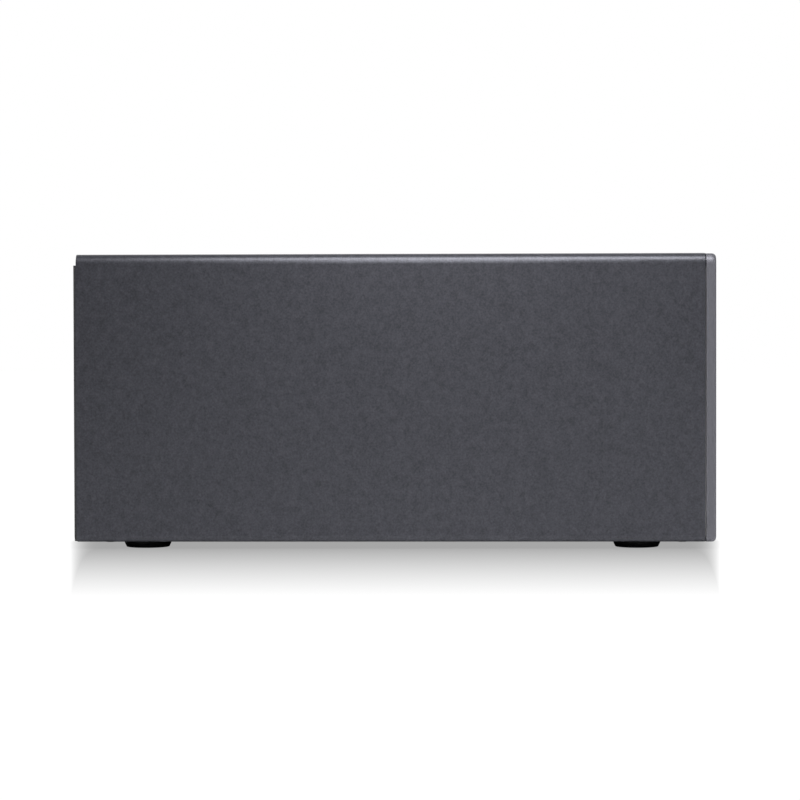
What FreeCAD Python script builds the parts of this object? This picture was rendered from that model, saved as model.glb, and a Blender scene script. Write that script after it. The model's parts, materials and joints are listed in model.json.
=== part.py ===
# Desktop data tape drive: a wrapped steel enclosure that holds a half-height
# 5.25-inch tape drive, a side-standing power supply, a bridge board with a
# storage card, and a rear fan. Millimetres; X to the right as seen from the
# front, the front faces -Y, Z is up from the floor under the feet.
import FreeCAD, Part
import os
from math import cos, hypot, pi, radians, sin, sqrt, tan

V = FreeCAD.Vector
X_AXIS = V(1, 0, 0)
Y_AXIS = V(0, 1, 0)
Z_AXIS = V(0, 0, 1)

# ==== driving dimensions ====
# The width adds up outwards from the cartridge, and the height adds up from the
# supply's rear panel through the shelf to the drive, so the enclosure follows
# what it holds. The depth is the enclosure's own.

# whole unit
unit_depth = 320.0
foot_height = 3.5
drive_side_room = 13.0
drive_top_room = 6.8
supply_headroom = 10.0

# enclosure sheet and bezel
cover_sheet = 1.5
cover_top_radius = 5.0
cover_bottom_radius = 3.5
cover_flange_width = 36.0
cover_lip_height = 6.0
tray_sheet = 1.2
tray_bend = 3.0
tray_flange = 10.0
flange_floor_gap = 5.0
flange_supply_gap = 4.0
shelf_sheet = 1.2
shelf_flange = 12.0
shelf_length = 160.0
shelf_setback = 3.0
shelf_window = 48.0
shelf_window_length = 26.0
shelf_window_step = 44.0
bezel_thickness = 5.0
bezel_gap = 0.5
bezel_top_step = 0.2
bezel_edge_round = 2.0
rear_sheet = 1.2
rear_top_step = 5.5
rear_side_step = 0.3
rear_corner_radius = 3.0
slide_clearance = 0.2
window_clearance = 0.4
fit_gap = 0.1
pivot_clearance = 0.05

# feet
foot_top_radius = 12.2
foot_bottom_radius = 11.0
foot_edge = 0.6
foot_from_front = 38.5
foot_from_rear = 35.0
foot_from_side = 19.0
foot_recess_radius = 3.4
foot_recess_depth = 1.5

# screws
m3_radius = 1.5
m3_head_radius = 2.75
m3_head_height = 1.0
screw_hole_clearance = 0.2
cover_screw_head = 1.4
cover_screw_from_front = 15.5
cover_screw_from_side = 22.0
bezel_screw_depth = 3.2
bezel_screw_rise = 16.0
bezel_screw_step = 100.0
shelf_screw_inset = 25.0
rear_screw_grip = 2.0
fan_screw_length = 6.0
lid_screw_radius = 1.0
lid_screw_length = 4.5
lid_head_height = 0.8

# vents
vent_pitch = 11.5
vent_bar = 2.2
vent_side_margin = 16.0
vent_bottom_margin = 10.0
vent_top_margin = 9.0
vent_frame = 2.0
grille_scale = 0.8

# tape cartridge and the tray that carries it
cartridge_width = 105.4
cartridge_depth = 102.0
cartridge_height = 21.5
cartridge_play = 0.9
carrier_play = 0.5
carrier_wall = 1.2
carrier_lip = 8.0
carrier_lip_sheet = 1.0
carrier_lift = 8.6
carrier_grip_room = 20.0
carrier_setback = 26.0
carrier_travel = 18.0
carrier_window_length = 16.0
carrier_window_step = 24.0
carrier_window_margin = 5.0
leader_gap_width = 20.8
hub_opening_margin = 4.0
hub_opening_rear = 12.0
rail_gap = 0.2
rail_width = 4.0
rail_inset = 5.0

# loader gears
gear_module = 0.8
gear_addendum = 0.9
gear_backlash = 0.25
gear_pressure_angle = 20.0
wheel_teeth = 15
pinion_teeth = 10
gear_center_slack = 0.1
gear_height = 5.0
gear_lift = 13.6
gear_wall_gap = 0.98
rack_back = 1.4
axle_radius = 1.5
shoulder_radius = 2.5
loader_motor_radius = 6.0
loader_shaft_radius = 0.8

# supply hub, reels and their motors
hub_radius = 14.0
hub_boss_radius = 4.0
hub_teeth = 12
hub_tooth_length = 4.0
hub_tooth_width = 1.8
hub_tooth_height = 1.3
hub_carrier_gap = 0.5
motor_radius = 20.0
motor_plate = 0.8
motor_bearing_radius = 5.0
coil_count = 9
coil_width = 4.8
coil_inner_radius = 8.0
reel_shaft_radius = 2.0
rotor_gap = 0.4
hub_motor_height = 2.5
reel_motor_height = 5.5
reel_radius = 36.0
reel_core_radius = 12.5
reel_neck_radius = 7.0
reel_flange = 1.0
reel_window_angle = 70
reel_window_margin = 4.5
reel_recess = 6.0
reel_gap = 4.5
reel_wall_gap = 0.5
reel_from_side = 48.5
tape_lift = 10.1
tape_width = 12.65
tape_play = 0.5

# tape path: guide rollers, the head and its lift
roller_radius = 5.0
roller_flange_radius = 6.0
roller_flange = 0.6
roller_play = 0.6
roller_side_room = 15.5
roller_step = 5.0
path_rear_room = 42.5
head_side_room = 25.3
head_lead = 4.0
head_depth = 4.2
head_length = 8.0
head_crown = 2.6
carriage_depth = 10.0
carriage_length = 14.0
carriage_round = 1.2
head_post_spacing = 9.0
head_screw_radius = 1.2
stepper_radius = 5.0
stepper_height = 4.5

# tape drive module
drive_height = 41.3
drive_wall = 2.5
drive_lid = 1.0
lid_corner_radius = 1.5
lid_slot_count = 6
lid_slot_length = 12.0
lid_slot_width = 4.0
lid_slot_step = 10.0
drive_bezel_thickness = 5.0
drive_bezel_recess = 1.5
drive_bezel_edge = 1.0
mouth_chamfer = 0.8
slot_play = 0.8
slot_sill = 9.3
door_thickness = 1.8
door_gap = 0.4
door_stub_length = 2.2
door_stub_radius = 1.2
door_grip_inset = 8.0
door_grip_depth = 0.5
drive_screw_inset = 3.15
drive_screw_from_front = 23.5
drive_screw_pitch = 79.2
drive_screw_depth = 2.2
cast_fillet = 1.5
sill_thickness = 2.0
boss_radius = 3.0
boss_hole_depth = 5.0
button_width = 9.0
button_height = 5.0
button_travel = 1.2
button_gap = 0.15
button_collar = 1.0
button_lift = 4.5
button_round = 0.6
switch_size = 6.0
display_width = 9.0
display_height = 12.0
display_lift = 12.0
lamp_radius = 1.0
lamp_count = 4
lamp_step = 3.4
lamp_lift = 5.2
front_board_gap = 4.0

# power supply
supply_width = 42.0
supply_depth = 150.0
supply_sheet = 0.9
supply_from_side = 2.6
supply_lip = 2.0
supply_slot_count = 6
supply_slot_margin = 6.0
inlet_edge = 3.0
rocker_gap = 2.55
small_fan_gap = 1.55
small_fan_edge = 1.5
small_fan_size = 40.0
small_fan_depth = 20.0
small_fan_screw_spacing = 32.0
inlet_half_width = 13.6
inlet_height = 20.0
inlet_flange_step = 1.0
inlet_depth = 19.0
inlet_wall = 1.4
inlet_cavity_depth = 15.0
inlet_key = 4.0
pin_spacing = 7.0
pin_offset = 2.0
pin_thickness = 2.0
pin_height = 4.0
pin_recess = 2.0
pin_chamfer = 0.6
rocker_half_width = 9.6
rocker_height = 12.9
rocker_tilt = 12.0
rocker_half_length = 6.8
rocker_lift = 0.9
rocker_face_height = 8.6
rocker_face_recess = 2.4
rocker_pivot_depth = 2.5
rocker_pivot_radius = 1.0
rocker_pin_reach = 1.0
rocker_body_depth = 15.0
supply_board_gap = 4.0
supply_board_margin = 6.0
supply_board_setback = 8.0
transformer_size = 26.0
transformer_height = 22.0
capacitor_radius = 9.0
capacitor_height = 24.0
supply_fin_count = 5
supply_fin_step = 6.0
supply_lead_radius = 3.0
supply_lead_drop = 12.0

# fans
fan_size = 80.0
fan_depth = 25.0
fan_screw_spacing = 71.5
fan_from_bracket = 1.5
fan_from_top = 4.0
fan_strut = 3.0
fan_flange = 4.0
fan_wall = 1.6
fan_hub_share = 0.2
shaft_radius = 1.5
blade_tip_gap = 0.8
blade_count = 7
blade_thickness = 1.4
blade_root_pitch = 50.0
blade_tip_pitch = 32.0

# boards, card and bracket
board_thickness = 1.6
board_lift = 5.3
board_margin = 9.0
board_length = 107.5
post_radius = 3.0
post_inset = 5.0
chip_height = 1.5
bridge_chip = 24.0
sink_base = 2.0
sink_overhang = 4.0
bridge_sink_height = 11.0
bridge_sink_fins = 9
fin_thickness = 1.2
card_lift = 39.0
card_drop = 6.8
card_length = 100.0
card_width = 64.0
card_inset = 5.0
card_chip = 22.0
card_chip_setback = 46.0
card_sink_overhang = 6.0
card_sink_height = 9.0
card_sink_fins = 10
memory_length = 12.0
memory_width = 8.0
memory_step = 11.0
memory_height = 1.0
memory_inset = 40.0
bracket_width = 18.42
bracket_length = 79.2
bracket_sheet = 0.8
bracket_proud = 0.3
bracket_gap = 1.6
bracket_slot = 3.0
bracket_slot_pitch = 5.6
bracket_tab = 10.0
bracket_tongue = 1.4
lug_depth = 9.0
lug_height = 14.0
riser_gap = 1.6
riser_length = 68.0
riser_setback = 20.0
riser_head = 18.0
slot_block = 7.5
slot_setback = 6.0
port_half_width = 4.5
port_height = 3.2
port_spacing = 20.0
port_from_bracket = 25.5
port_depth = 7.0
port_wall = 0.3
tongue_half_width = 3.3
tongue_thickness = 0.7

# plugs and leads
connector_height = 6.8
connector_depth = 6.0
connector_reach = 2.0
connector_lid_gap = 2.3
plug_height = 6.0
plug_length = 8.0
data_from_bracket = 21.5
data_width = 20.0
data_cable_radius = 2.5
power_width = 16.0
lead_front_loop = 28.0

# ==== places that follow from them ====
# across, from the cartridge outwards
screw_hole = m3_radius + screw_hole_clearance
carrier_half = cartridge_width / 2 + carrier_play + carrier_wall
wheel_radius = gear_module * wheel_teeth / 2
pinion_radius = gear_module * pinion_teeth / 2
rack_pitch_x = carrier_half + rack_back + gear_module * 1.25
wheel_x = rack_pitch_x + wheel_radius
inner_half = wheel_x + wheel_radius + gear_module * gear_addendum + gear_wall_gap
drive_half = inner_half + drive_wall
half_width = drive_half + drive_side_room
inner_half_width = half_width - cover_sheet - slide_clearance
tray_inner_half = inner_half_width - tray_sheet
window_half = drive_half + window_clearance
slot_half_width = cartridge_width / 2 + slot_play
right_middle = (slot_half_width + drive_half) / 2
wall_middle = (window_half + tray_inner_half) / 2
flange_x = tray_inner_half - tray_flange / 2
foot_x = half_width - foot_from_side
cover_screw_x = half_width - cover_screw_from_side
drive_screw_x = drive_half - drive_screw_inset
supply_x1 = tray_inner_half - supply_from_side
supply_x0 = supply_x1 - supply_width
supply_x = (supply_x0 + supply_x1) / 2
bracket_x0 = -tray_inner_half + tray_flange + bracket_gap
bracket_x1 = bracket_x0 + bracket_length
fan_center_x = bracket_x0 + fan_size / 2 + fan_from_bracket
board_x0 = bracket_x0
board_x1 = bracket_x1 + board_margin
card_x0 = bracket_x0 + card_inset
card_x1 = card_x0 + card_width
riser_x = bracket_x1 + riser_gap
port_x0 = bracket_x0 + port_from_bracket
port_xs = (port_x0, port_x0 + port_spacing)
data_x = bracket_x0 + data_from_bracket
power_x = (board_x1 + supply_x0) / 2
vent_half_width = half_width - vent_side_margin
reel_x = inner_half - reel_from_side
head_x = -inner_half + head_side_room
carriage_x0 = head_x + head_depth
carriage_x1 = carriage_x0 + carriage_depth
head_post_x = carriage_x0 + head_lead
head_screw_x = carriage_x0 + 7.2
lamp_xs = [right_middle + lamp_step * (k - (lamp_count - 1) / 2) for k in range(lamp_count)]

# upwards, from the floor to the cover's top
cover_bottom = foot_height
tray_floor_bottom = cover_bottom + cover_sheet
tray_floor = tray_floor_bottom + tray_sheet
inlet_z = tray_floor + inlet_edge + inlet_height / 2
rocker_z = inlet_z + inlet_height / 2 + rocker_gap + rocker_height / 2
small_fan_z = rocker_z + rocker_height / 2 + small_fan_gap + small_fan_size / 2
supply_top = small_fan_z + small_fan_size / 2 + small_fan_edge
shelf_bottom = supply_top + supply_headroom
drive_bottom = shelf_bottom + shelf_sheet
drive_top = drive_bottom + drive_height
cover_top = drive_top + drive_top_room
rear_top = cover_top - rear_top_step
tray_top = rear_top - 1.0
shelf_screw_z = shelf_bottom - shelf_flange / 2
vent_bottom = cover_bottom + vent_bottom_margin
vent_top = drive_bottom - window_clearance - vent_top_margin
fan_center_z = rear_top - fan_from_top - fan_size / 2
bridge_board_z = tray_floor + board_lift
port_z0 = bridge_board_z + board_thickness
card_center_z = cover_bottom + card_lift
card_z0 = card_center_z - card_drop
card_top = card_z0 + board_thickness
riser_top = card_top + riser_head
supply_lead_z = rocker_z - supply_lead_drop
chassis_floor = drive_bottom + drive_wall
lid_bottom = drive_top - drive_lid
drive_board_z = lid_bottom - connector_lid_gap - connector_height - board_thickness
connector_z0 = drive_board_z + board_thickness
connector_mid_z = connector_z0 + connector_height / 2
carrier_z0 = drive_bottom + carrier_lift
bay_floor = carrier_z0 + carrier_wall
bay_top = bay_floor + cartridge_height + cartridge_play
carrier_top = bay_top + carrier_lip_sheet
slot_bottom = drive_bottom + slot_sill
door_axis_z = bay_top + door_gap + door_thickness / 2
slot_top = door_axis_z + door_thickness / 2 + door_gap
gear_z = drive_bottom + gear_lift
tape_z0 = drive_bottom + tape_lift
tape_z1 = tape_z0 + tape_width
roller_z0 = tape_z0 - roller_play
roller_z1 = tape_z1 + rotor_gap
carriage_z0 = tape_z0 + roller_play
carriage_z1 = tape_z1 - roller_play
head_post_top = drive_board_z - 1.0
button_z = slot_bottom + button_lift
display_z = button_z + display_lift
lamp_z = drive_bottom + lamp_lift

# front to back
half_depth = unit_depth / 2
bezel_front = -half_depth
bezel_back = bezel_front + bezel_thickness
cover_front = bezel_back + bezel_gap
rear_face = half_depth - bracket_proud
cover_rear = rear_face - rear_sheet
flange_y = cover_rear - tray_sheet
cover_screw_y = half_depth - cover_screw_from_front
shelf_front = bezel_back + tray_sheet + shelf_setback
shelf_rear = shelf_front + shelf_length
drive_front = bezel_front + drive_bezel_recess
chassis_front = drive_front + drive_bezel_thickness
door_axis_y = (drive_front + chassis_front) / 2
front_board_y = chassis_front + front_board_gap
carrier_y0 = chassis_front + carrier_setback
carrier_y1 = carrier_y0 + cartridge_depth - carrier_grip_room
bay_rear = carrier_y1 - carrier_wall
hub_y = bay_rear + carrier_travel - cartridge_depth / 2
wheel_y = hub_y
pinion_y = wheel_y + wheel_radius + pinion_radius + gear_center_slack
chassis_inner_rear = carrier_y1 + carrier_travel + reel_gap + 2 * reel_radius + reel_wall_gap
chassis_rear = chassis_inner_rear + drive_wall
reel_y = chassis_inner_rear - reel_wall_gap - reel_radius
head_y = reel_y + head_lead
drive_board_y0 = carrier_y1 + carrier_travel + reel_gap + 1.0
drive_board_y1 = chassis_inner_rear - 0.6
drive_board_half = inner_half - 2.5
rear_connector_y1 = chassis_rear + connector_reach
supply_y1 = cover_rear
supply_y0 = supply_y1 - supply_depth
case_rear_inner = supply_y1 - supply_sheet
fan_front = cover_rear - fan_depth
board_y1 = cover_rear - 1.0
board_y0 = board_y1 - board_length
card_y1 = cover_rear - 1.0
card_y0 = card_y1 - card_length
riser_y0 = card_y0 + riser_setback
card_slot_y0 = riser_y0 + slot_setback
card_slot_y1 = riser_y0 + riser_length - slot_setback
bracket_lug_y0 = cover_rear - lug_depth
bracket_screw_y = bracket_lug_y0 + lug_depth / 2
lead_rise_y = (rear_connector_y1 + fan_front) / 2
rocker_face_y = rear_face - rocker_face_recess
rocker_pivot_y = rocker_face_y - rocker_pivot_depth
inlet_body_half = inlet_half_width - inlet_flange_step
inlet_body_height = inlet_height - 2 * inlet_flange_step + slide_clearance

# where screws, feet, posts and rollers stand
foot_places = [(sx * foot_x, y) for sx in (-1, 1)
               for y in (bezel_front + foot_from_front, half_depth - foot_from_rear)]
cover_screw_places = [(sx * cover_screw_x, sy * cover_screw_y) for sx in (-1, 1) for sy in (-1, 1)]
bezel_screw_zs = (cover_bottom + bezel_screw_rise, cover_bottom + bezel_screw_rise + bezel_screw_step)
bezel_screw_places = [(sx * wall_middle, z) for sx in (-1, 1) for z in bezel_screw_zs]
shelf_screw_ys = (shelf_front + shelf_screw_inset, shelf_rear - shelf_screw_inset)
drive_screw_y0 = chassis_front + drive_screw_from_front
drive_screw_ys = (drive_screw_y0, drive_screw_y0 + drive_screw_pitch)
rear_screw_places = [(-flange_x, tray_floor + 20.0)]
rear_screw_places += [(x, tray_top - 12.0) for x in (-flange_x, flange_x)]
fan_screw_places = [(fan_center_x + sx * fan_screw_spacing / 2, fan_center_z + sz * fan_screw_spacing / 2)
                    for sx in (-1, 1) for sz in (-1, 1)]
post_places = [(x, y) for x in (board_x0 + post_inset, board_x1 - post_inset)
               for y in (board_y0 + post_inset, board_y1 - post_inset)]
bridge_chip_x = board_x0 + 26.0
bridge_chip_y = board_y0 + 40.0
card_chip_x = data_x + data_width / 2 + card_sink_overhang + 2.0
card_chip_y = card_y0 + card_chip_setback
bracket_tab_xs = (card_x0 + 8.0, card_x1 - 10.0)
bracket_tab_y = cover_rear - 8.0
board_boss_places = [(sx * (drive_board_half - 4.0), y) for sx in (-1, 1)
                     for y in (drive_board_y0 + 4.0, chassis_inner_rear - 4.5)]
lid_screw_places = [(sx * (drive_half - drive_wall / 2), y) for sx in (-1, 1)
                    for y in (chassis_front + 13.0, chassis_front + 93.0, chassis_rear - 12.0)]
path_x = -inner_half + roller_side_room
roller_places = [(path_x, reel_y - 23.0), (path_x + roller_step, reel_y - 9.0),
                 (path_x + roller_step, reel_y + 17.0), (-inner_half + path_rear_room, reel_y + 29.0)]
head_post_ys = (head_y - head_post_spacing / 2, head_y + head_post_spacing / 2)


# ==== small helpers ====
def box(x0, x1, y0, y1, z0, z1):
    return Part.makeBox(x1 - x0, y1 - y0, z1 - z0, V(x0, y0, z0))


def rod(radius, length, base, axis=Z_AXIS):
    return Part.makeCylinder(radius, length, V(*base), axis)


def fused(shapes):
    return shapes[0].multiFuse(shapes[1:]).removeSplitter()


def cut_all(solid, tools):
    return solid.cut(Part.makeCompound(tools))


def save(name, shape):
    shape.exportStep("parts/" + name + ".step")


def save_group(name, solids):
    save(name, Part.makeCompound(solids))


def edges_along(solid, axis, test):
    """Straight edges parallel to an axis whose middle passes a test."""
    found = []
    for edge in solid.Edges:
        if not isinstance(edge.Curve, Part.Line):
            continue
        if abs(abs(edge.Curve.Direction.dot(axis)) - 1) < 1e-6 and test(edge.CenterOfMass):
            found.append(edge)
    return found


def outline(points):
    loop = [V(*p) for p in points]
    return Part.makePolygon(loop + [loop[0]])


def prism(points, extrude):
    """A closed polygon of points pushed along a vector."""
    return Part.Face(outline(points)).extrude(extrude)


def turned(points, axis, base):
    """A closed profile turned round an axis through the origin, then set on its base."""
    solid = Part.Face(outline(points)).revolve(V(0, 0, 0), axis, 360)
    solid.translate(V(*base))
    return solid


def round_array(shape, count, axis, base):
    """Copies of a shape made about the origin, turned evenly round an axis, then moved to base."""
    copies = []
    for k in range(count):
        copy = shape.copy()
        copy.rotate(V(0, 0, 0), axis, 360.0 / count * k)
        copy.translate(V(*base))
        copies.append(copy)
    return copies


def rounded_plate(half_x, z0, z1, y0, y1, bottom_radius, top_radius):
    """An upright plate facing the front, with rounded corners."""
    plate = box(-half_x, half_x, y0, y1, z0, z1)
    middle = (z0 + z1) / 2
    low = edges_along(plate, Y_AXIS, lambda c: c.z < middle)
    plate = plate.makeFillet(bottom_radius, low)
    if top_radius:
        high = edges_along(plate, Y_AXIS, lambda c: c.z > middle and abs(c.x) > half_x - 0.01)
        plate = plate.makeFillet(top_radius, high)
    return plate


def hexagon(center_x, center_z, radius, y0, y1):
    """A six-sided hole tool with its axis along Y."""
    corners = []
    for k in range(6):
        turn = radians(60 * k + 30)
        corners.append((center_x + radius * cos(turn), y0, center_z + radius * sin(turn)))
    return prism(corners, V(0, y1 - y0, 0))


def hex_field(pitch, bar, y0, y1, center_x, center_z, inside):
    """Hexagonal holes on a staggered grid about a centre, kept where inside(x, z) is true."""
    radius = (pitch - bar) / sqrt(3)
    tools = []
    for row in range(-20, 21):
        shift = pitch / 2 if row % 2 else 0.0
        z = row * pitch * sqrt(3) / 2
        for column in range(-20, 21):
            x = column * pitch + shift
            if inside(x, z):
                tools.append(hexagon(center_x + x, center_z + z, radius, y0, y1))
    return tools


def pan_screw(base, axis, shank, head_radius=m3_head_radius, head_height=m3_head_height):
    """A screw whose head stands on base against axis and whose shank runs along it."""
    out = V(*base) - axis * head_height
    head = Part.makeCylinder(head_radius, head_height, out, axis)
    return head.fuse(Part.makeCylinder(m3_radius, shank, V(*base), axis)).removeSplitter()


os.makedirs("parts", exist_ok=True)


# ==== wrap-round cover ====
def make_cover():
    length = cover_rear - cover_front

    def bent_block(inset):
        low = cover_bottom + inset
        high = cover_top - inset
        half = half_width - inset
        block = box(-half, half, cover_front, cover_rear, low, high)
        middle = (low + high) / 2
        bottom = edges_along(block, Y_AXIS, lambda c: c.z < middle)
        block = block.makeFillet(cover_bottom_radius - inset, bottom)
        top = edges_along(block, Y_AXIS, lambda c: c.z > middle and abs(c.x) > half - 0.01)
        return block.makeFillet(cover_top_radius - inset, top)

    sleeve = bent_block(0.0).cut(bent_block(cover_sheet))
    gap_half = half_width - cover_flange_width
    sleeve = sleeve.cut(box(-gap_half, gap_half, cover_front, cover_rear, cover_bottom, tray_floor_bottom))
    lip_half = half_width - cover_top_radius
    lip = box(-lip_half, lip_half, cover_front + length - cover_sheet, cover_rear,
              cover_top - cover_lip_height, cover_top - cover_sheet)
    sleeve = sleeve.fuse(lip).removeSplitter()
    holes = [rod(screw_hole, cover_sheet, (x, y, cover_bottom)) for x, y in foot_places + cover_screw_places]
    return cut_all(sleeve, holes)


# ==== base tray: floor, side walls, front wall with windows, rear flanges ====
def make_tray():
    outer = box(-inner_half_width, inner_half_width, bezel_back, cover_rear, tray_floor_bottom, tray_top)
    outer = outer.makeFillet(tray_bend, edges_along(outer, Y_AXIS, lambda c: c.z < tray_floor))
    inner = box(-tray_inner_half, tray_inner_half, bezel_back + tray_sheet, cover_rear, tray_floor, tray_top)
    lower_edges = edges_along(inner, Y_AXIS, lambda c: c.z < tray_floor + 1)
    inner = inner.makeFillet(tray_bend - tray_sheet, lower_edges)
    left = box(-tray_inner_half, -tray_inner_half + tray_flange, flange_y, cover_rear,
               tray_floor + flange_floor_gap, tray_top)
    right = box(tray_inner_half - tray_flange, tray_inner_half, flange_y, cover_rear,
                supply_top + flange_supply_gap, tray_top)
    tray = fused([outer.cut(inner), left, right])
    front = (bezel_back, bezel_back + tray_sheet)
    vent_half = vent_half_width + vent_frame
    tools = [
        box(-window_half, window_half, *front, drive_bottom - window_clearance, tray_top),
        box(-vent_half, vent_half, *front, vent_bottom - vent_frame, vent_top + vent_frame),
    ]
    floor_holes = foot_places + cover_screw_places
    tools += [rod(screw_hole, tray_sheet, (x, y, tray_floor_bottom)) for x, y in floor_holes]
    tools += [rod(screw_hole, tray_sheet, (x, bezel_back, z), Y_AXIS) for x, z in bezel_screw_places]
    tools += [rod(screw_hole, tray_sheet, (x, flange_y, z), Y_AXIS) for x, z in rear_screw_places]
    for y in shelf_screw_ys:
        for x in (-inner_half_width, tray_inner_half):
            tools.append(rod(screw_hole, tray_sheet, (x, y, shelf_screw_z), X_AXIS))
    return cut_all(tray, tools)


# ==== front bezel plate: drive window above, hexagonal vents below ====
def make_bezel():
    plate = rounded_plate(half_width, cover_bottom, cover_top - bezel_top_step, bezel_front, bezel_back,
                          cover_bottom_radius, cover_top_radius)
    rim = [e for e in plate.Edges if abs(e.CenterOfMass.y - bezel_front) < 1e-4]
    plate = plate.makeFillet(bezel_edge_round, rim)
    window = box(-window_half, window_half, bezel_front, bezel_back,
                 drive_bottom - window_clearance, drive_top + window_clearance)
    middle = (vent_bottom + vent_top) / 2
    reach = vent_pitch / 2

    def in_field(x, z):
        return abs(x) < vent_half_width - reach and abs(z) < (vent_top - vent_bottom) / 2 - reach

    holes = hex_field(vent_pitch, vent_bar, bezel_front, bezel_back, 0.0, middle, in_field)
    blind = [rod(m3_radius, bezel_screw_depth, (x, bezel_back - bezel_screw_depth, z), Y_AXIS)
             for x, z in bezel_screw_places]
    return cut_all(plate, [window] + holes + blind)


# ==== rear panel ====
def countersink(x, z, grow):
    """A flush screw's head, seen from behind the unit."""
    return Part.makeCone(m3_radius + grow, m3_head_radius + grow, rear_sheet, V(x, cover_rear, z), Y_AXIS)


def make_rear_screw(x, z, shank):
    thread = rod(m3_radius, shank, (x, cover_rear - shank, z), Y_AXIS)
    return countersink(x, z, 0.0).fuse(thread).removeSplitter()


def make_rear_panel():
    panel = rounded_plate(half_width - rear_side_step, cover_bottom + rear_side_step, rear_top,
                          cover_rear, rear_face, rear_corner_radius, 0.0)
    grille_pitch = vent_pitch * grille_scale
    reach = fan_size / 2 - fan_wall - grille_pitch / 2

    def in_circle(x, z):
        return hypot(x, z) < reach

    tools = hex_field(grille_pitch, vent_bar * grille_scale, cover_rear, rear_face,
                      fan_center_x, fan_center_z, in_circle)
    tools.append(box(supply_x0 + supply_lip, supply_x1 - supply_lip, cover_rear, rear_face,
                     tray_floor + supply_lip, supply_top - supply_lip))
    bracket_half = bracket_width / 2 + slide_clearance
    tools.append(box(bracket_x0 - slide_clearance, bracket_x1 + slide_clearance, cover_rear, rear_face,
                     card_center_z - bracket_half, card_center_z + bracket_half))
    port_half = port_half_width + window_clearance
    for x in port_xs:
        tools.append(box(x - port_half, x + port_half, cover_rear, rear_face,
                         port_z0 - window_clearance, port_z0 + port_height + window_clearance))
    tools += [countersink(x, z, pivot_clearance) for x, z in rear_screw_places + fan_screw_places]
    return cut_all(panel, tools).fuse(make_panel_lug()).removeSplitter()


def make_panel_lug():
    """The panel's bent-in lug that the card bracket is screwed to."""
    x0 = bracket_x1 + slide_clearance
    half = lug_height / 2
    lug = box(x0, x0 + rear_sheet, bracket_lug_y0, cover_rear, card_center_z - half, card_center_z + half)
    return lug.cut(rod(screw_hole, rear_sheet, (x0, bracket_screw_y, card_center_z), X_AXIS))


# ==== drive shelf: a flat sheet with down-turned sides ====
def make_shelf():
    sheet = box(-tray_inner_half, tray_inner_half, shelf_front, shelf_rear, shelf_bottom, drive_bottom)
    flange_bottom = shelf_bottom - shelf_flange
    flange = (shelf_front, shelf_rear, flange_bottom, shelf_bottom)
    left = box(-tray_inner_half, -tray_inner_half + shelf_sheet, *flange)
    right = box(tray_inner_half - shelf_sheet, tray_inner_half, *flange)
    shelf = fused([sheet, left, right])
    shelf = shelf.makeFillet(shelf_sheet - fit_gap, edges_along(
        shelf, Y_AXIS, lambda c: abs(c.x) > tray_inner_half - 0.01 and c.z > drive_bottom - 0.01))
    tools = []
    window_x = drive_half - 17.0 - shelf_window
    for k in range(3):
        y0 = shelf_front + 21.0 + shelf_window_step * k
        for x0 in (-window_x - shelf_window, window_x):
            tools.append(box(x0, x0 + shelf_window, y0, y0 + shelf_window_length, shelf_bottom, drive_bottom))
    for y in drive_screw_ys:
        for sx in (-1, 1):
            tools.append(rod(screw_hole, shelf_sheet, (sx * drive_screw_x, y, shelf_bottom)))
    for y in shelf_screw_ys:
        for x in (-tray_inner_half, tray_inner_half - shelf_sheet):
            tools.append(rod(screw_hole, shelf_sheet, (x, y, shelf_screw_z), X_AXIS))
    return cut_all(shelf, tools)


# ==== feet and screws ====
def make_foot(x, y):
    """A tapered rubber foot turned round its screw, with a recess for the head."""
    profile = [(screw_hole, foot_recess_depth), (foot_recess_radius, foot_recess_depth),
               (foot_recess_radius, 0),
               (foot_bottom_radius - foot_edge, 0), (foot_bottom_radius, foot_edge),
               (foot_top_radius, foot_height), (screw_hole, foot_height)]
    return turned([V(r, 0, z) for r, z in profile], Z_AXIS, (x, y, 0))


def make_chassis_screws():
    inside = bezel_back + tray_sheet
    screws = [pan_screw((x, inside, z), -Y_AXIS, tray_sheet + bezel_screw_depth - slide_clearance)
              for x, z in bezel_screw_places]
    reach = shelf_sheet + tray_sheet - fit_gap
    for y in shelf_screw_ys:
        screws.append(pan_screw((tray_inner_half - shelf_sheet, y, shelf_screw_z), X_AXIS, reach))
        screws.append(pan_screw((-tray_inner_half + shelf_sheet, y, shelf_screw_z), -X_AXIS, reach))
    reach = shelf_sheet + drive_screw_depth - slide_clearance
    screws += [pan_screw((sx * drive_screw_x, y, shelf_bottom), Z_AXIS, reach)
               for sx in (-1, 1) for y in drive_screw_ys]
    return screws


def make_enclosure():
    save("cover_sleeve", make_cover())
    save("base_tray", make_tray())
    save("front_bezel", make_bezel())
    save("rear_panel", make_rear_panel())
    save("drive_shelf", make_shelf())
    save_group("rubber_feet", [make_foot(x, y) for x, y in foot_places])
    foot_shank = tray_floor - foot_recess_depth
    foot_heads = [(x, y, foot_recess_depth) for x, y in foot_places]
    save_group("foot_screws", [pan_screw(place, Z_AXIS, foot_shank) for place in foot_heads])
    cover_shank = tray_floor - cover_bottom
    save_group("cover_screws", [
        pan_screw((x, y, cover_bottom), Z_AXIS, cover_shank, m3_head_radius, cover_screw_head)
        for x, y in cover_screw_places])
    save_group("chassis_screws", make_chassis_screws())
    rear_screws = [make_rear_screw(x, z, tray_sheet + rear_screw_grip) for x, z in rear_screw_places]
    rear_screws += [make_rear_screw(x, z, fan_screw_length) for x, z in fan_screw_places]
    save_group("rear_screws", rear_screws)


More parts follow.
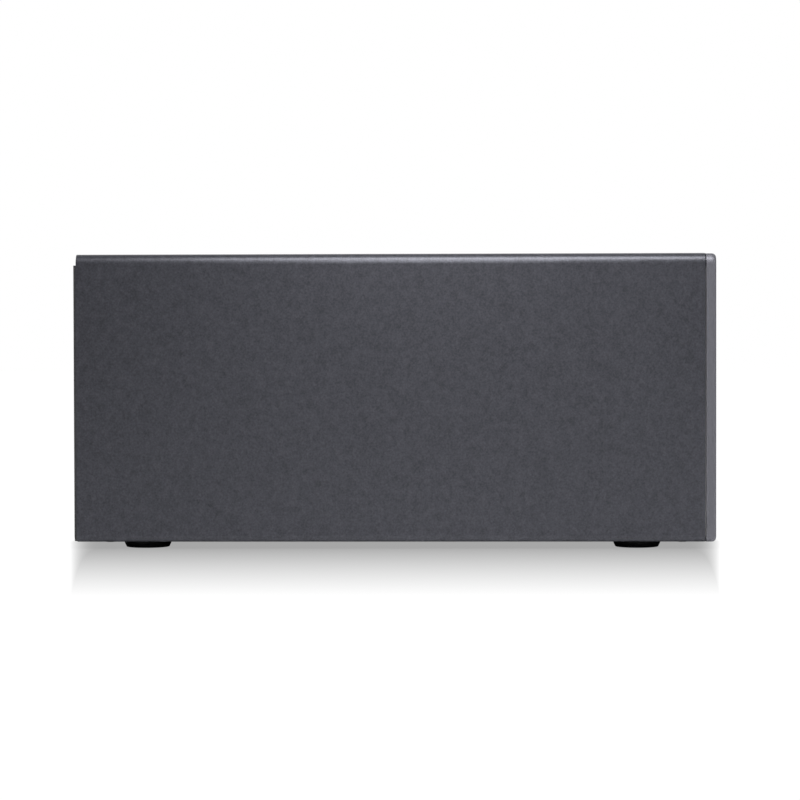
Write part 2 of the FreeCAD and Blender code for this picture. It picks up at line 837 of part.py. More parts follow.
# ==== fans: a square frame with struts, and a rotor with twisted blades ====
def make_fan_frame(size, depth, center_x, center_z, y1, screw_spacing):
    """Frame with its struts and bearing disc on the rear side."""
    y0 = y1 - depth
    half = size / 2
    duct = half - fan_wall
    hub = size * fan_hub_share
    body = rod(half, depth, (center_x, y0, center_z), Y_AXIS)
    for y in (y0, y1 - fan_flange):
        plate = box(center_x - half, center_x + half, y, y + fan_flange, center_z - half, center_z + half)
        plate = plate.makeFillet(size * 0.05, edges_along(plate, Y_AXIS, lambda c: True))
        body = body.fuse(plate)
    body = body.cut(rod(duct, depth, (center_x, y0, center_z), Y_AXIS))
    strut = box(hub - 1.0, duct + fan_wall / 2, y1 - fan_strut, y1, -fan_strut / 2, fan_strut / 2)
    strut.rotate(V(0, 0, 0), Y_AXIS, 45)
    struts = round_array(strut, 4, Y_AXIS, (center_x, 0, center_z))
    disc = rod(hub, fan_strut, (center_x, y1 - fan_strut, center_z), Y_AXIS)
    holes = [rod(shaft_radius + pivot_clearance, fan_strut, (center_x, y1 - fan_strut, center_z), Y_AXIS)]
    for sx in (-1, 1):
        for sz in (-1, 1):
            place = (center_x + sx * screw_spacing / 2, y0, center_z + sz * screw_spacing / 2)
            holes.append(rod(screw_hole, depth, place, Y_AXIS))
    return cut_all(fused([body, disc] + struts), holes)


def blade_section(radius, chord, pitch, middle_y):
    """A flat blade section at one radius, turned by its pitch about the radial line."""
    corners = []
    for along, across in ((-0.5, -0.5), (0.5, -0.5), (0.5, 0.5), (-0.5, 0.5)):
        u = along * chord
        v = across * blade_thickness
        y = middle_y + u * sin(radians(pitch)) + v * cos(radians(pitch))
        z = u * cos(radians(pitch)) - v * sin(radians(pitch))
        corners.append((radius, y, z))
    return outline(corners)


def make_fan_rotor(size, depth, center_x, center_z, y1):
    hub = size * fan_hub_share + 0.5
    hub_front = y1 - depth + 1.5
    hub_rear = y1 - fan_strut - 0.6
    hub_length = hub_rear - hub_front
    middle = (hub_front + hub_rear) / 2
    cap = rod(hub, hub_length, (0, hub_front, 0), Y_AXIS)
    cap = cap.makeFillet(1.0, [e for e in cap.Edges if abs(e.CenterOfMass.y - hub_front) < 1e-4])
    tip = size / 2 - fan_wall - blade_tip_gap
    chord = hub_length * 0.82
    root = blade_section(hub - 1.5, chord, blade_root_pitch, middle)
    outer = blade_section(tip + 2.0, chord * 1.25, blade_tip_pitch, middle)
    blade = Part.makeLoft([root, outer], True, True)
    blade = blade.common(rod(tip, depth, (0, y1 - depth, 0), Y_AXIS))
    shaft = rod(shaft_radius, fan_strut + 0.4, (0, hub_rear, 0), Y_AXIS)
    rotor = fused([cap, shaft] + round_array(blade, blade_count, Y_AXIS, (0, 0, 0)))
    rotor.translate(V(center_x, 0, center_z))
    return rotor


# ==== power supply ====
def centered(middle_x, half_x, y0, y1, middle_z, height):
    """A box about a middle in X and Z."""
    return box(middle_x - half_x, middle_x + half_x, y0, y1, middle_z - height / 2, middle_z + height / 2)


def make_supply_case():
    case = box(supply_x0, supply_x1, supply_y0, supply_y1, tray_floor, supply_top)
    cavity = box(supply_x0 + supply_sheet, supply_x1 - supply_sheet,
                 supply_y0 + supply_sheet, case_rear_inner,
                 tray_floor + supply_sheet, supply_top - supply_sheet)
    play = 2 * fit_gap
    tools = [
        cavity,
        centered(supply_x, inlet_body_half + fit_gap, case_rear_inner, supply_y1,
                 inlet_z, inlet_body_height + play),
        centered(supply_x, rocker_half_width + fit_gap, case_rear_inner, supply_y1,
                 rocker_z, rocker_height + play),
        rod(small_fan_size / 2 - fan_wall, supply_sheet, (supply_x, case_rear_inner, small_fan_z), Y_AXIS),
        rod(supply_lead_radius + fit_gap, supply_sheet, (supply_x, supply_y0, supply_lead_z), Y_AXIS),
    ]
    slots_z0 = supply_lead_z + supply_lead_radius + supply_slot_margin
    slot_step = (supply_top - supply_slot_margin - slots_z0) / supply_slot_count
    for k in range(supply_slot_count):
        z = slots_z0 + slot_step * k
        tools.append(box(supply_x0 + supply_slot_margin, supply_x1 - supply_slot_margin, supply_y0,
                         supply_y0 + supply_sheet, z, z + slot_step * 0.55))
    return cut_all(case, tools)


def make_supply_board():
    """Board on the case's inner side, with its transformer, capacitors and heat sink."""
    x0 = supply_x0 + supply_sheet
    board_x = x0 + supply_board_gap
    face = board_x + board_thickness
    y0 = supply_y0 + supply_board_setback
    y1 = supply_y1 - small_fan_depth - supply_board_setback
    z0 = tray_floor + supply_board_margin
    z1 = supply_top - supply_board_margin
    middle = (z0 + z1) / 2
    length = y1 - y0
    shapes = [box(board_x, face, y0, y1, z0, z1)]
    for y in (y0 + post_inset, y1 - post_inset):
        for z in (z0 + post_inset, z1 - post_inset):
            shapes.append(rod(2.0, supply_board_gap, (x0, y, z), X_AXIS))
    coil_y = y0 + length * 0.38
    shapes.append(box(face, face + transformer_height, coil_y, coil_y + transformer_size,
                      middle - transformer_size / 2, middle + transformer_size / 2))
    for z in (z0 + capacitor_radius + post_inset, z1 - capacitor_radius - post_inset):
        shapes.append(rod(capacitor_radius, capacitor_height, (face, y0 + length * 0.8, z), X_AXIS))
    fin_y = y0 + supply_board_setback
    fin_z0 = z0 + 2 * post_inset
    fin_z1 = z1 - 2 * post_inset
    fin_end = fin_y + supply_fin_step * supply_fin_count - 4.0
    shapes.append(box(face, face + 3.0, fin_y, fin_end, fin_z0, fin_z1))
    for k in range(supply_fin_count):
        y = fin_y + supply_fin_step * k
        shapes.append(box(face, face + capacitor_height, y, y + 2.0, fin_z0, fin_z1))
    return fused(shapes)


def make_inlet():
    """Three-pin appliance inlet: flange outside, shell with a keyed cavity inside."""
    flange = centered(supply_x, inlet_half_width, supply_y1, rear_face, inlet_z, inlet_height)
    flange = flange.makeFillet(1.5, edges_along(flange, Y_AXIS, lambda c: True))
    shell = centered(supply_x, inlet_body_half, rear_face - inlet_depth, supply_y1,
                     inlet_z, inlet_body_height)
    half = inlet_body_half - inlet_wall
    reach = inlet_body_height / 2 - inlet_wall
    y = rear_face - inlet_cavity_depth
    corners = [(-half, -reach), (half, -reach), (half, reach - inlet_key), (half - inlet_key, reach),
               (-half + inlet_key, reach), (-half, reach - inlet_key)]
    cavity = prism([(supply_x + x, y, inlet_z + z) for x, z in corners], V(0, inlet_cavity_depth, 0))
    return flange.fuse(shell).cut(cavity).removeSplitter()


def make_inlet_pins():
    pins = []
    tip = rear_face - pin_recess
    for x, z in ((-pin_spacing, -pin_offset), (pin_spacing, -pin_offset), (0.0, pin_offset)):
        blade = centered(supply_x + x, pin_thickness / 2, rear_face - inlet_cavity_depth, tip,
                         inlet_z + z, pin_height)
        tip_edges = [e for e in blade.Edges if abs(e.CenterOfMass.y - tip) < 1e-4]
        pins.append(blade.makeChamfer(pin_chamfer, tip_edges))
    return pins


def make_rocker_frame():
    flange = centered(supply_x, rocker_half_width + 0.9, supply_y1, rear_face, rocker_z, rocker_height + 1.0)
    body = centered(supply_x, rocker_half_width, rear_face - rocker_body_depth, supply_y1,
                    rocker_z, rocker_height)
    pocket = centered(supply_x, rocker_half_length + 1.1, rocker_pivot_y - 5.0, rear_face,
                      rocker_z, rocker_face_height + 2 * fit_gap)
    bore_length = rocker_face_height + 2 * (rocker_pin_reach + slide_clearance)
    bore = rod(rocker_pivot_radius + pivot_clearance, bore_length,
               (supply_x, rocker_pivot_y, rocker_z - bore_length / 2))
    return flange.fuse(body).cut(pocket).cut(bore).removeSplitter()


def make_rocker():
    """Shallow V of a rocker, tilted to its off side."""
    z0 = rocker_z - rocker_face_height / 2
    reach = rocker_half_length
    profile = [(-reach, rocker_lift), (0, 0), (reach, rocker_lift),
               (reach - 0.4, -3.0), (0, -5.4), (-reach + 0.4, -3.0)]
    body = prism([(supply_x + x, rocker_face_y + y, z0) for x, y in profile], V(0, 0, rocker_face_height))
    pin = rod(rocker_pivot_radius, rocker_face_height + 2 * rocker_pin_reach,
              (supply_x, rocker_pivot_y, z0 - rocker_pin_reach))
    rocker = body.fuse(pin).removeSplitter()
    rocker.rotate(V(supply_x, rocker_pivot_y, 0), Z_AXIS, -rocker_tilt)
    return rocker


def make_power():
    save("supply_case", make_supply_case())
    save("supply_board", make_supply_board())
    save("mains_inlet", make_inlet())
    save_group("inlet_pins", make_inlet_pins())
    save("rocker_frame", make_rocker_frame())
    save("power_rocker", make_rocker())
    small = (small_fan_size, small_fan_depth, supply_x, small_fan_z, case_rear_inner)
    save("supply_fan_frame", make_fan_frame(*small, small_fan_screw_spacing))
    save("supply_fan_rotor", make_fan_rotor(*small))
    large = (fan_size, fan_depth, fan_center_x, fan_center_z, cover_rear)
    save("rear_fan_frame", make_fan_frame(*large, fan_screw_spacing))
    save("rear_fan_rotor", make_fan_rotor(*large))


# ==== boards, card and leads behind the drive ====
def heat_sink(x0, y0, z0, chip, overhang, height, fins):
    """Finned block on a square chip, overhanging it all round."""
    width = chip + 2 * overhang
    x0 -= overhang
    y0 -= overhang
    step = (width - fin_thickness) / (fins - 1)
    shapes = [box(x0, x0 + width, y0, y0 + width, z0, z0 + sink_base)]
    for k in range(fins):
        x = x0 + step * k
        shapes.append(box(x, x + fin_thickness, y0, y0 + width, z0, z0 + height))
    return fused(shapes)


def make_bridge_board():
    top = port_z0
    chip_top = top + chip_height
    shapes = [
        box(board_x0, board_x1, board_y0, board_y1, bridge_board_z, top),
        box(bridge_chip_x, bridge_chip_x + bridge_chip, bridge_chip_y, bridge_chip_y + bridge_chip,
            top, chip_top),
        box(board_x0 + 6, board_x0 + 16, board_y0 + 14, board_y0 + 30, top, chip_top),
        box(board_x0 + 20, board_x0 + 32, board_y0 + 10, board_y0 + 20, top, chip_top),
    ]
    for k in range(4):
        shapes.append(rod(3.0, 7.0, (board_x1 - 12 - 9 * k, board_y0 + 8, top)))
    riser_y1 = riser_y0 + riser_length
    shapes.append(box(riser_x - 3.0, riser_x + board_thickness + 3.0, riser_y0 + 4, riser_y1 - 4,
                      top, top + 8))
    slot = box(riser_x - fit_gap, riser_x + board_thickness + fit_gap, riser_y0 - fit_gap, riser_y1 + fit_gap,
               top + 1.4, top + 8)
    holes = [rod(screw_hole, board_thickness, (x, y, bridge_board_z)) for x, y in post_places]
    return cut_all(fused(shapes), [slot] + holes)


def make_post(x, y):
    corners = []
    for k in range(6):
        turn = radians(60 * k)
        corners.append((x + post_radius * cos(turn), y + post_radius * sin(turn), tray_floor))
    bore = rod(m3_radius, 3.0, (x, y, bridge_board_z - 3.0))
    return prism(corners, V(0, 0, bridge_board_z - tray_floor)).cut(bore)


def make_port(x):
    """Reversible data port: an oval shell with a thin tongue inside."""
    y0 = board_y1 - port_depth
    y1 = rear_face - port_wall
    middle = port_z0 + port_height / 2

    def oval(inset, front):
        half = port_half_width - inset
        block = centered(x, half, front, y1, middle, port_height - 2 * inset)
        return block.makeFillet(port_height / 2 - inset - 0.05, edges_along(block, Y_AXIS, lambda c: True))

    tongue = centered(x, tongue_half_width, y0 + 1.0, y1 - 0.6, middle, tongue_thickness)
    return oval(0.0, y0).cut(oval(port_wall, y0 + 1.0)).fuse(tongue).removeSplitter()


def make_card():
    shapes = [
        box(card_x0, card_x1, card_y0, card_y1, card_z0, card_top),
        box(card_x1, riser_x - window_clearance, card_slot_y0 + 3, card_slot_y1 - 3, card_z0, card_top),
        box(card_chip_x, card_chip_x + card_chip, card_chip_y, card_chip_y + card_chip, card_top,
            card_top + chip_height),
        box(data_x - data_width / 2, data_x + data_width / 2, lead_rise_y - 4, lead_rise_y + 4, card_top,
            card_top + connector_height),
    ]
    memory_x = card_x0 + memory_inset
    for k in range(3):
        y = card_y0 + 4 + memory_step * k
        shapes.append(box(memory_x, memory_x + memory_length, y, y + memory_width, card_top,
                          card_top + memory_height))
    holes = [rod(screw_hole, board_thickness, (x, bracket_tab_y, card_z0)) for x in bracket_tab_xs]
    return cut_all(fused(shapes), holes)


def make_riser():
    face = riser_x
    board = box(face, face + board_thickness, riser_y0, riser_y0 + riser_length, port_z0 + 1.4, riser_top)
    block = box(face - slot_block, face, card_slot_y0 - 2, card_slot_y1 + 2, card_z0 - 3, card_top + 3)
    slot = box(face - slot_block, face - port_wall, card_slot_y0 + 3 - fit_gap, card_slot_y1 - 3 + fit_gap,
               card_z0 - fit_gap, card_top + fit_gap)
    return board.fuse(block).removeSplitter().cut(slot)


def make_bracket():
    """Slotted card bracket: plate in the panel's window, board tabs, side tab and tongue."""
    y1 = rear_face + bracket_proud
    y0 = y1 - bracket_sheet
    z0 = card_center_z - bracket_width / 2
    z1 = z0 + bracket_width
    behind = cover_rear - bracket_sheet
    shapes = [
        box(bracket_x0, bracket_x1, y0, y1, z0, z1),
        box(bracket_x1 - bracket_sheet, bracket_x1, bracket_lug_y0, y0, z0 + 2, z1 - 2),
        box(bracket_x0, bracket_x0 + bracket_sheet, behind, y0, z0 + 4, z1 - 4),
        box(bracket_x0 - bracket_tongue, bracket_x0, behind, cover_rear, z0 + 4, z1 - 4),
    ]
    half_tab = bracket_tab / 2
    for x in bracket_tab_xs:
        shapes.append(box(x - half_tab, x + half_tab, bracket_tab_y - half_tab, y1 - fit_gap, card_top,
                          card_top + bracket_sheet))
    tools = []
    for k in range(int((bracket_length - 14) / bracket_slot_pitch)):
        x = bracket_x0 + 8 + bracket_slot_pitch * k
        tools.append(box(x, x + bracket_slot, y0, y1, card_top + 2.5, z1 - 3.0))
    for x in bracket_tab_xs:
        tools.append(rod(screw_hole, bracket_sheet, (x, bracket_tab_y, card_top)))
    tab_hole = (bracket_x1 - bracket_sheet, bracket_screw_y, card_center_z)
    tools.append(rod(screw_hole, bracket_sheet, tab_hole, X_AXIS))
    return cut_all(fused(shapes), tools)


def tube(points, radius):
    """A round lead along straight runs joined by tangent arcs."""
    corners = [V(*p) for p in points]
    edges = []
    start = corners[0]
    for before, corner, after in zip(corners, corners[1:], corners[2:]):
        into = (corner - before).normalize()
        out = (after - corner).normalize()
        turn = into.getAngle(out)
        setback = 0.45 * min((corner - before).Length, (after - corner).Length)
        bend = setback / tan(turn / 2)
        arc_start = corner - into * setback
        arc_end = corner + out * setback
        inward = (out - into).normalize()
        middle = corner + inward * (bend / cos(turn / 2) - bend)
        edges.append(Part.makeLine(start, arc_start))
        edges.append(Part.Arc(arc_start, middle, arc_end).toShape())
        start = arc_end
    edges.append(Part.makeLine(start, corners[-1]))
    path = Part.Wire(edges)
    section = Part.Wire(Part.makeCircle(radius, corners[0], (corners[1] - corners[0]).normalize()))
    return path.makePipeShell([section], True, True)


def drive_plug(x, width):
    """A flat plug in the drive's rear connector."""
    return box(x - width / 2 + 1, x + width / 2 - 1, rear_connector_y1, rear_connector_y1 + plug_length,
               connector_z0 + window_clearance, connector_z0 + connector_height - window_clearance)


def make_data_cable():
    """Plugs at the card and at the drive, and a round cable between them."""
    plug_z = card_top + connector_height
    card_plug = box(data_x - data_width / 2 + 1, data_x + data_width / 2 - 1,
                    lead_rise_y - 3.5, lead_rise_y + 3.5,
                    plug_z, plug_z + plug_height)
    path = [(data_x, lead_rise_y, plug_z + plug_height - 1.0), (data_x, lead_rise_y, connector_mid_z),
            (data_x, rear_connector_y1 + plug_length - 1.0, connector_mid_z)]
    return fused([card_plug, drive_plug(data_x, data_width), tube(path, data_cable_radius)])


def make_power_lead():
    front = supply_y0 - lead_front_loop
    path = [(supply_x, supply_y0 + 5.0, supply_lead_z), (supply_x, front, supply_lead_z),
            (power_x, front, supply_lead_z), (power_x, lead_rise_y, supply_lead_z),
            (power_x, lead_rise_y, connector_mid_z),
            (power_x, rear_connector_y1 + plug_length - 1.0, connector_mid_z)]
    return fused([drive_plug(power_x, power_width), tube(path, supply_lead_radius)])


def make_board_screws():
    screws = [pan_screw((x, y, port_z0), -Z_AXIS, board_thickness + 2.5) for x, y in post_places]
    tab_top = card_top + bracket_sheet
    screws += [pan_screw((x, bracket_tab_y, tab_top), -Z_AXIS, bracket_sheet + board_thickness + 1.0)
               for x in bracket_tab_xs]
    screws.append(pan_screw((bracket_x1 - bracket_sheet, bracket_screw_y, card_center_z), X_AXIS,
                            bracket_sheet + slide_clearance + rear_sheet))
    screws += [pan_screw((x, y, connector_z0), -Z_AXIS, board_thickness + boss_hole_depth - 0.5)
               for x, y in board_boss_places]
    return screws


def make_electronics():
    save("bridge_board", make_bridge_board())
    save("bridge_heat_sink", heat_sink(bridge_chip_x, bridge_chip_y, port_z0 + chip_height, bridge_chip,
                                       sink_overhang, bridge_sink_height, bridge_sink_fins))
    save_group("board_posts", [make_post(x, y) for x, y in post_places])
    save_group("board_screws", make_board_screws())
    save_group("data_ports", [make_port(x) for x in port_xs])
    save("storage_card", make_card())
    save("card_heat_sink", heat_sink(card_chip_x, card_chip_y, card_top + chip_height, card_chip,
                                     card_sink_overhang, card_sink_height, card_sink_fins))
    save("card_bracket", make_bracket())
    save("riser_board", make_riser())
    save("data_cable", make_data_cable())
    save("power_lead", make_power_lead())


# ==== tape drive: housing, bezel and controls ====
def make_chassis():
    shell = box(-drive_half, drive_half, chassis_front, chassis_rear, drive_bottom, lid_bottom)
    hollow = box(-inner_half, inner_half, chassis_front, chassis_inner_rear, chassis_floor, lid_bottom)
    hollow = hollow.makeFillet(cast_fillet, edges_along(hollow, Y_AXIS, lambda c: c.z < chassis_floor + 0.01))
    shapes = [shell.cut(hollow)]
    for sx in (-1, 1):
        middle = sx * (carrier_half - rail_inset)
        shapes.append(box(middle - rail_width / 2, middle + rail_width / 2, carrier_y0,
                          carrier_y1 + carrier_travel, chassis_floor, carrier_z0 - rail_gap))
    for x, y in board_boss_places:
        shapes.append(rod(boss_radius, drive_board_z - chassis_floor, (x, y, chassis_floor)))
    sill_front = (chassis_front, chassis_front + sill_thickness)
    sill = box(-inner_half, inner_half, *sill_front, chassis_floor, slot_bottom - 1.0)
    shapes.append(sill.cut(box(slot_half_width + 1.0, inner_half, *sill_front, chassis_floor, slot_bottom)))
    tools = []
    for middle, width in ((data_x, data_width), (power_x, power_width)):
        tools.append(box(middle - width / 2 - window_clearance, middle + width / 2 + window_clearance,
                         chassis_inner_rear, chassis_rear, drive_board_z - port_wall, lid_bottom))
    for x, y in board_boss_places:
        tools.append(rod(m3_radius, boss_hole_depth, (x, y, drive_board_z - boss_hole_depth)))
    for x, y in lid_screw_places:
        tools.append(rod(lid_screw_radius, boss_hole_depth, (x, y, lid_bottom - boss_hole_depth)))
    for y in drive_screw_ys:
        for sx in (-1, 1):
            tools.append(rod(m3_radius, drive_screw_depth, (sx * drive_screw_x, y, drive_bottom)))
    return cut_all(fused(shapes), tools)


def make_lid():
    lid = box(-drive_half, drive_half, chassis_front, chassis_rear, lid_bottom, drive_top)
    lid = lid.makeFillet(lid_corner_radius, edges_along(lid, Z_AXIS, lambda c: True))
    hole = lid_screw_radius + pivot_clearance
    tools = [rod(hole, drive_lid, (x, y, lid_bottom)) for x, y in lid_screw_places]
    pitch = (2 * drive_half - 46.0) / (lid_slot_count - 1)
    for k in range(lid_slot_count):
        x0 = pitch * (k - (lid_slot_count - 1) / 2) - lid_slot_length / 2
        for y0 in (chassis_rear - 70.0, chassis_rear - 70.0 + lid_slot_step):
            tools.append(box(x0, x0 + lid_slot_length, y0, y0 + lid_slot_width, lid_bottom, drive_top))
    return cut_all(lid, tools)


def make_drive_bezel():
    face = box(-drive_half, drive_half, drive_front, chassis_front, drive_bottom, drive_top)
    front_edges = [e for e in face.Edges if abs(e.CenterOfMass.y - drive_front) < 1e-4]
    face = face.makeFillet(drive_bezel_edge, front_edges)
    face = face.cut(box(-slot_half_width, slot_half_width, drive_front, chassis_front, slot_bottom, slot_top))
    mouth = [e for e in face.Edges if abs(e.CenterOfMass.y - drive_front) < 1e-4
             and abs(e.CenterOfMass.x) < slot_half_width + 0.01
             and slot_bottom - 0.01 < e.CenterOfMass.z < slot_top + 0.01]
    face = face.makeChamfer(mouth_chamfer, mouth)
    tools = []
    for sx in (-1, 1):
        tools.append(rod(door_stub_radius + pivot_clearance, door_stub_length + slide_clearance,
                         (sx * slot_half_width, door_axis_y, door_axis_z), X_AXIS * sx))
    tools.append(centered(right_middle, button_width / 2 + button_gap, drive_front, chassis_front,
                          button_z, button_height + 2 * button_gap))
    tools.append(centered(right_middle, display_width / 2 + fit_gap, drive_front, chassis_front,
                          display_z, display_height + 2 * fit_gap))
    tools += [rod(lamp_radius + fit_gap, drive_bezel_thickness, (x, drive_front, lamp_z), Y_AXIS)
              for x in lamp_xs]
    return cut_all(face, tools)


def make_door():
    """Slot door: a flap under a barrel, with a grip groove and a stub at each end."""
    half = slot_half_width - door_gap
    front = door_axis_y - door_thickness / 2
    back = front + door_thickness
    low = slot_bottom + door_gap
    panel = box(-half, half, front, back, low, door_axis_z)
    grip_half = half - door_grip_inset
    grip = box(-grip_half, grip_half, front, front + door_grip_depth, low + 3.0, low + 4.2)
    barrel = rod(door_thickness / 2, 2 * half, (-half, door_axis_y, door_axis_z), X_AXIS)
    stubs = [rod(door_stub_radius, door_stub_length, (x, door_axis_y, door_axis_z), X_AXIS)
             for x in (-half - door_stub_length, half)]
    return fused([panel.cut(grip), barrel] + stubs)


def make_button():
    front = drive_front - slide_clearance
    collar_y = chassis_front + fit_gap
    cap = centered(right_middle, button_width / 2, front, collar_y, button_z, button_height)
    cap = cap.makeFillet(button_round, [e for e in cap.Edges if abs(e.CenterOfMass.y - front) < 1e-4])
    collar = centered(right_middle, button_width / 2 + button_collar, collar_y, chassis_front + button_collar,
                      button_z, button_height + 2 * button_collar)
    return cap.fuse(collar).removeSplitter()


def make_front_board():
    """Small upright board behind the right side of the drive's bezel, with the eject switch."""
    board = box(slot_half_width + 2.0, inner_half, front_board_y, front_board_y + board_thickness,
                chassis_floor + cast_fillet + fit_gap, slot_top + 1.0)
    switch_face = chassis_front + button_collar + button_travel + fit_gap
    switch = centered(right_middle, switch_size / 2, switch_face, front_board_y, button_z, switch_size)
    return board.fuse(switch).removeSplitter()


def make_display():
    return centered(right_middle, display_width / 2, drive_front + port_wall, front_board_y,
                    display_z, display_height)


def make_lamps():
    front = drive_front + fit_gap
    return [rod(lamp_radius, front_board_y - front, (x, front, lamp_z), Y_AXIS) for x in lamp_xs]


# ==== tape drive: cartridge tray and its loader ====
def rack_teeth(z0, z1):
    """Teeth of the rack on the tray's right side, in mesh with the loader wheel over the whole travel."""
    pitch = pi * gear_module
    lean = tan(radians(gear_pressure_angle))
    half_pitch = pitch / 4 - gear_backlash / 2
    half_tip = half_pitch - gear_module * gear_addendum * lean
    half_root = half_pitch + gear_module * lean
    root_x = rack_pitch_x - gear_module - fit_gap
    tip_x = rack_pitch_x + gear_module * gear_addendum
    last = 3
    first = -last - int(carrier_travel / pitch)
    teeth = []
    for k in range(first, last + 1):
        y = wheel_y + k * pitch
        teeth.append(prism([(root_x, y - half_root, z0), (tip_x, y - half_tip, z0), (tip_x, y + half_tip, z0),
                            (root_x, y + half_root, z0)], V(0, 0, z1 - z0)))
    return teeth


def make_carrier():
    """Sliding tray that takes the cartridge, with a toothed rack on its right side."""
    wall_x = carrier_half - carrier_wall
    lip_x = carrier_half - carrier_lip
    shapes = [box(-carrier_half, carrier_half, carrier_y0, carrier_y1, carrier_z0, bay_floor)]
    for x0, x1 in ((-carrier_half, -wall_x), (wall_x, carrier_half)):
        shapes.append(box(x0, x1, carrier_y0, carrier_y1, carrier_z0, carrier_top))
    for x0, x1 in ((-carrier_half, -lip_x), (lip_x, carrier_half)):
        shapes.append(box(x0, x1, carrier_y0, carrier_y1, bay_top, carrier_top))
    shapes.append(box(-carrier_half, carrier_half, bay_rear, carrier_y1, carrier_z0, carrier_top))
    rack_z0 = gear_z + 0.5
    rack_z1 = gear_z + gear_height - 0.5
    shapes.append(box(carrier_half, rack_pitch_x - gear_module, carrier_y0, carrier_y1, rack_z0, rack_z1))
    shapes += rack_teeth(rack_z0, rack_z1)
    reach = hub_radius + hub_opening_margin
    opening = box(-reach, reach, hub_y - carrier_travel - reach, bay_rear - hub_opening_rear,
                  carrier_z0, bay_floor)
    tools = [opening.makeFillet(6.0, edges_along(opening, Z_AXIS, lambda c: True))]
    tools.append(box(-wall_x, -wall_x + leader_gap_width, bay_rear, carrier_y1,
                     bay_floor + 1.0, bay_top - 1.0))
    for k in range(3):
        y0 = carrier_y0 + 8.0 + carrier_window_step * k
        tools.append(box(-carrier_half, -wall_x, y0, y0 + carrier_window_length,
                         bay_floor + carrier_window_margin, bay_top - carrier_window_margin))
    return cut_all(fused(shapes), tools)


def gear(teeth, phase, bore):
    """A straight-toothed gear on the Z axis; one tooth is centred at the phase angle."""
    pitch = pi * gear_module
    radius = gear_module * teeth / 2
    lean = tan(radians(gear_pressure_angle))
    half_pitch = pitch / 4 - gear_backlash / 2
    half_tip = half_pitch - gear_module * gear_addendum * lean
    half_root = half_pitch + gear_module * 0.6 * lean
    tip = radius + gear_module * gear_addendum
    root = radius - gear_module * 1.2
    flank = ((root, -half_root), (radius, -half_pitch), (tip, -half_tip),
             (tip, half_tip), (radius, half_pitch), (root, half_root))
    points = []
    for k in range(teeth):
        middle = radians(phase + 360.0 / teeth * k)
        for r, offset in flank:
            turn = middle + offset / r
            points.append((r * cos(turn), r * sin(turn), gear_z))
    return prism(points, V(0, 0, gear_height)).cut(rod(bore, gear_height, (0, 0, gear_z)))


def make_wheel():
    """A gap faces the rack, on its left, because a rack tooth stands at the wheel's own Y."""
    wheel = gear(wheel_teeth, 180.0 + 180.0 / wheel_teeth, axle_radius + pivot_clearance)
    wheel.translate(V(wheel_x, wheel_y, 0))
    return wheel


def make_pinion():
    """Turned so that its teeth fall in the wheel's gaps on the line between the two."""
    wheel_lead = (180.0 + 180.0 / wheel_teeth - 90.0) % (360.0 / wheel_teeth)
    phase = 270.0 - wheel_lead * wheel_teeth / pinion_teeth + 180.0 / pinion_teeth
    shaft_z0 = chassis_floor + 3.0
    shaft = rod(loader_shaft_radius, gear_z + gear_height - shaft_z0, (0, 0, shaft_z0))
    pinion = gear(pinion_teeth, phase, loader_shaft_radius / 2).fuse(shaft).removeSplitter()
    pinion.translate(V(wheel_x, pinion_y, 0))
    return pinion


def make_loader_motor():
    height = gear_z - 0.6 - chassis_floor
    motor = rod(loader_motor_radius, height, (wheel_x, pinion_y, chassis_floor))
    return motor.cut(rod(loader_shaft_radius + pivot_clearance, height, (wheel_x, pinion_y, chassis_floor)))


def stepped_post(x, y, shoulder_z, top):
    """An axle on a wider foot that keeps what turns on it off the chassis floor."""
    foot = rod(shoulder_radius, shoulder_z - chassis_floor, (x, y, chassis_floor))
    return foot.fuse(rod(axle_radius, top - shoulder_z, (x, y, shoulder_z))).removeSplitter()


# ==== tape drive: hub, reel and motors ====
def make_hub():
    """Supply hub: toothed disc that grips the cartridge's reel."""
    top = carrier_z0 - hub_carrier_gap
    face = top - hub_tooth_height + fit_gap
    bottom = chassis_floor + hub_motor_height + rotor_gap
    shapes = [
        rod(hub_radius, face - bottom, (0, hub_y, bottom)),
        rod(hub_boss_radius, top - bottom, (0, hub_y, bottom)),
        rod(reel_shaft_radius, hub_motor_height, (0, hub_y, chassis_floor + rotor_gap)),
    ]
    half = hub_tooth_width / 2
    outer = hub_radius - 0.5
    tooth = box(outer - hub_tooth_length, outer, -half, half, top - hub_tooth_height, top)
    return fused(shapes + round_array(tooth, hub_teeth, Z_AXIS, (0, hub_y, 0)))


def make_motor(x, y, height):
    """Flat reel motor: pole plate with coils round a bearing."""
    plate = rod(motor_radius, motor_plate, (x, y, chassis_floor))
    bearing = rod(motor_bearing_radius, height, (x, y, chassis_floor))
    coil = box(coil_inner_radius, motor_radius - 1.5, -coil_width / 2, coil_width / 2, chassis_floor,
               chassis_floor + height - 0.5)
    body = fused([plate, bearing] + round_array(coil, coil_count, Z_AXIS, (x, y, 0)))
    return body.cut(rod(reel_shaft_radius + pivot_clearance, height, (x, y, chassis_floor)))


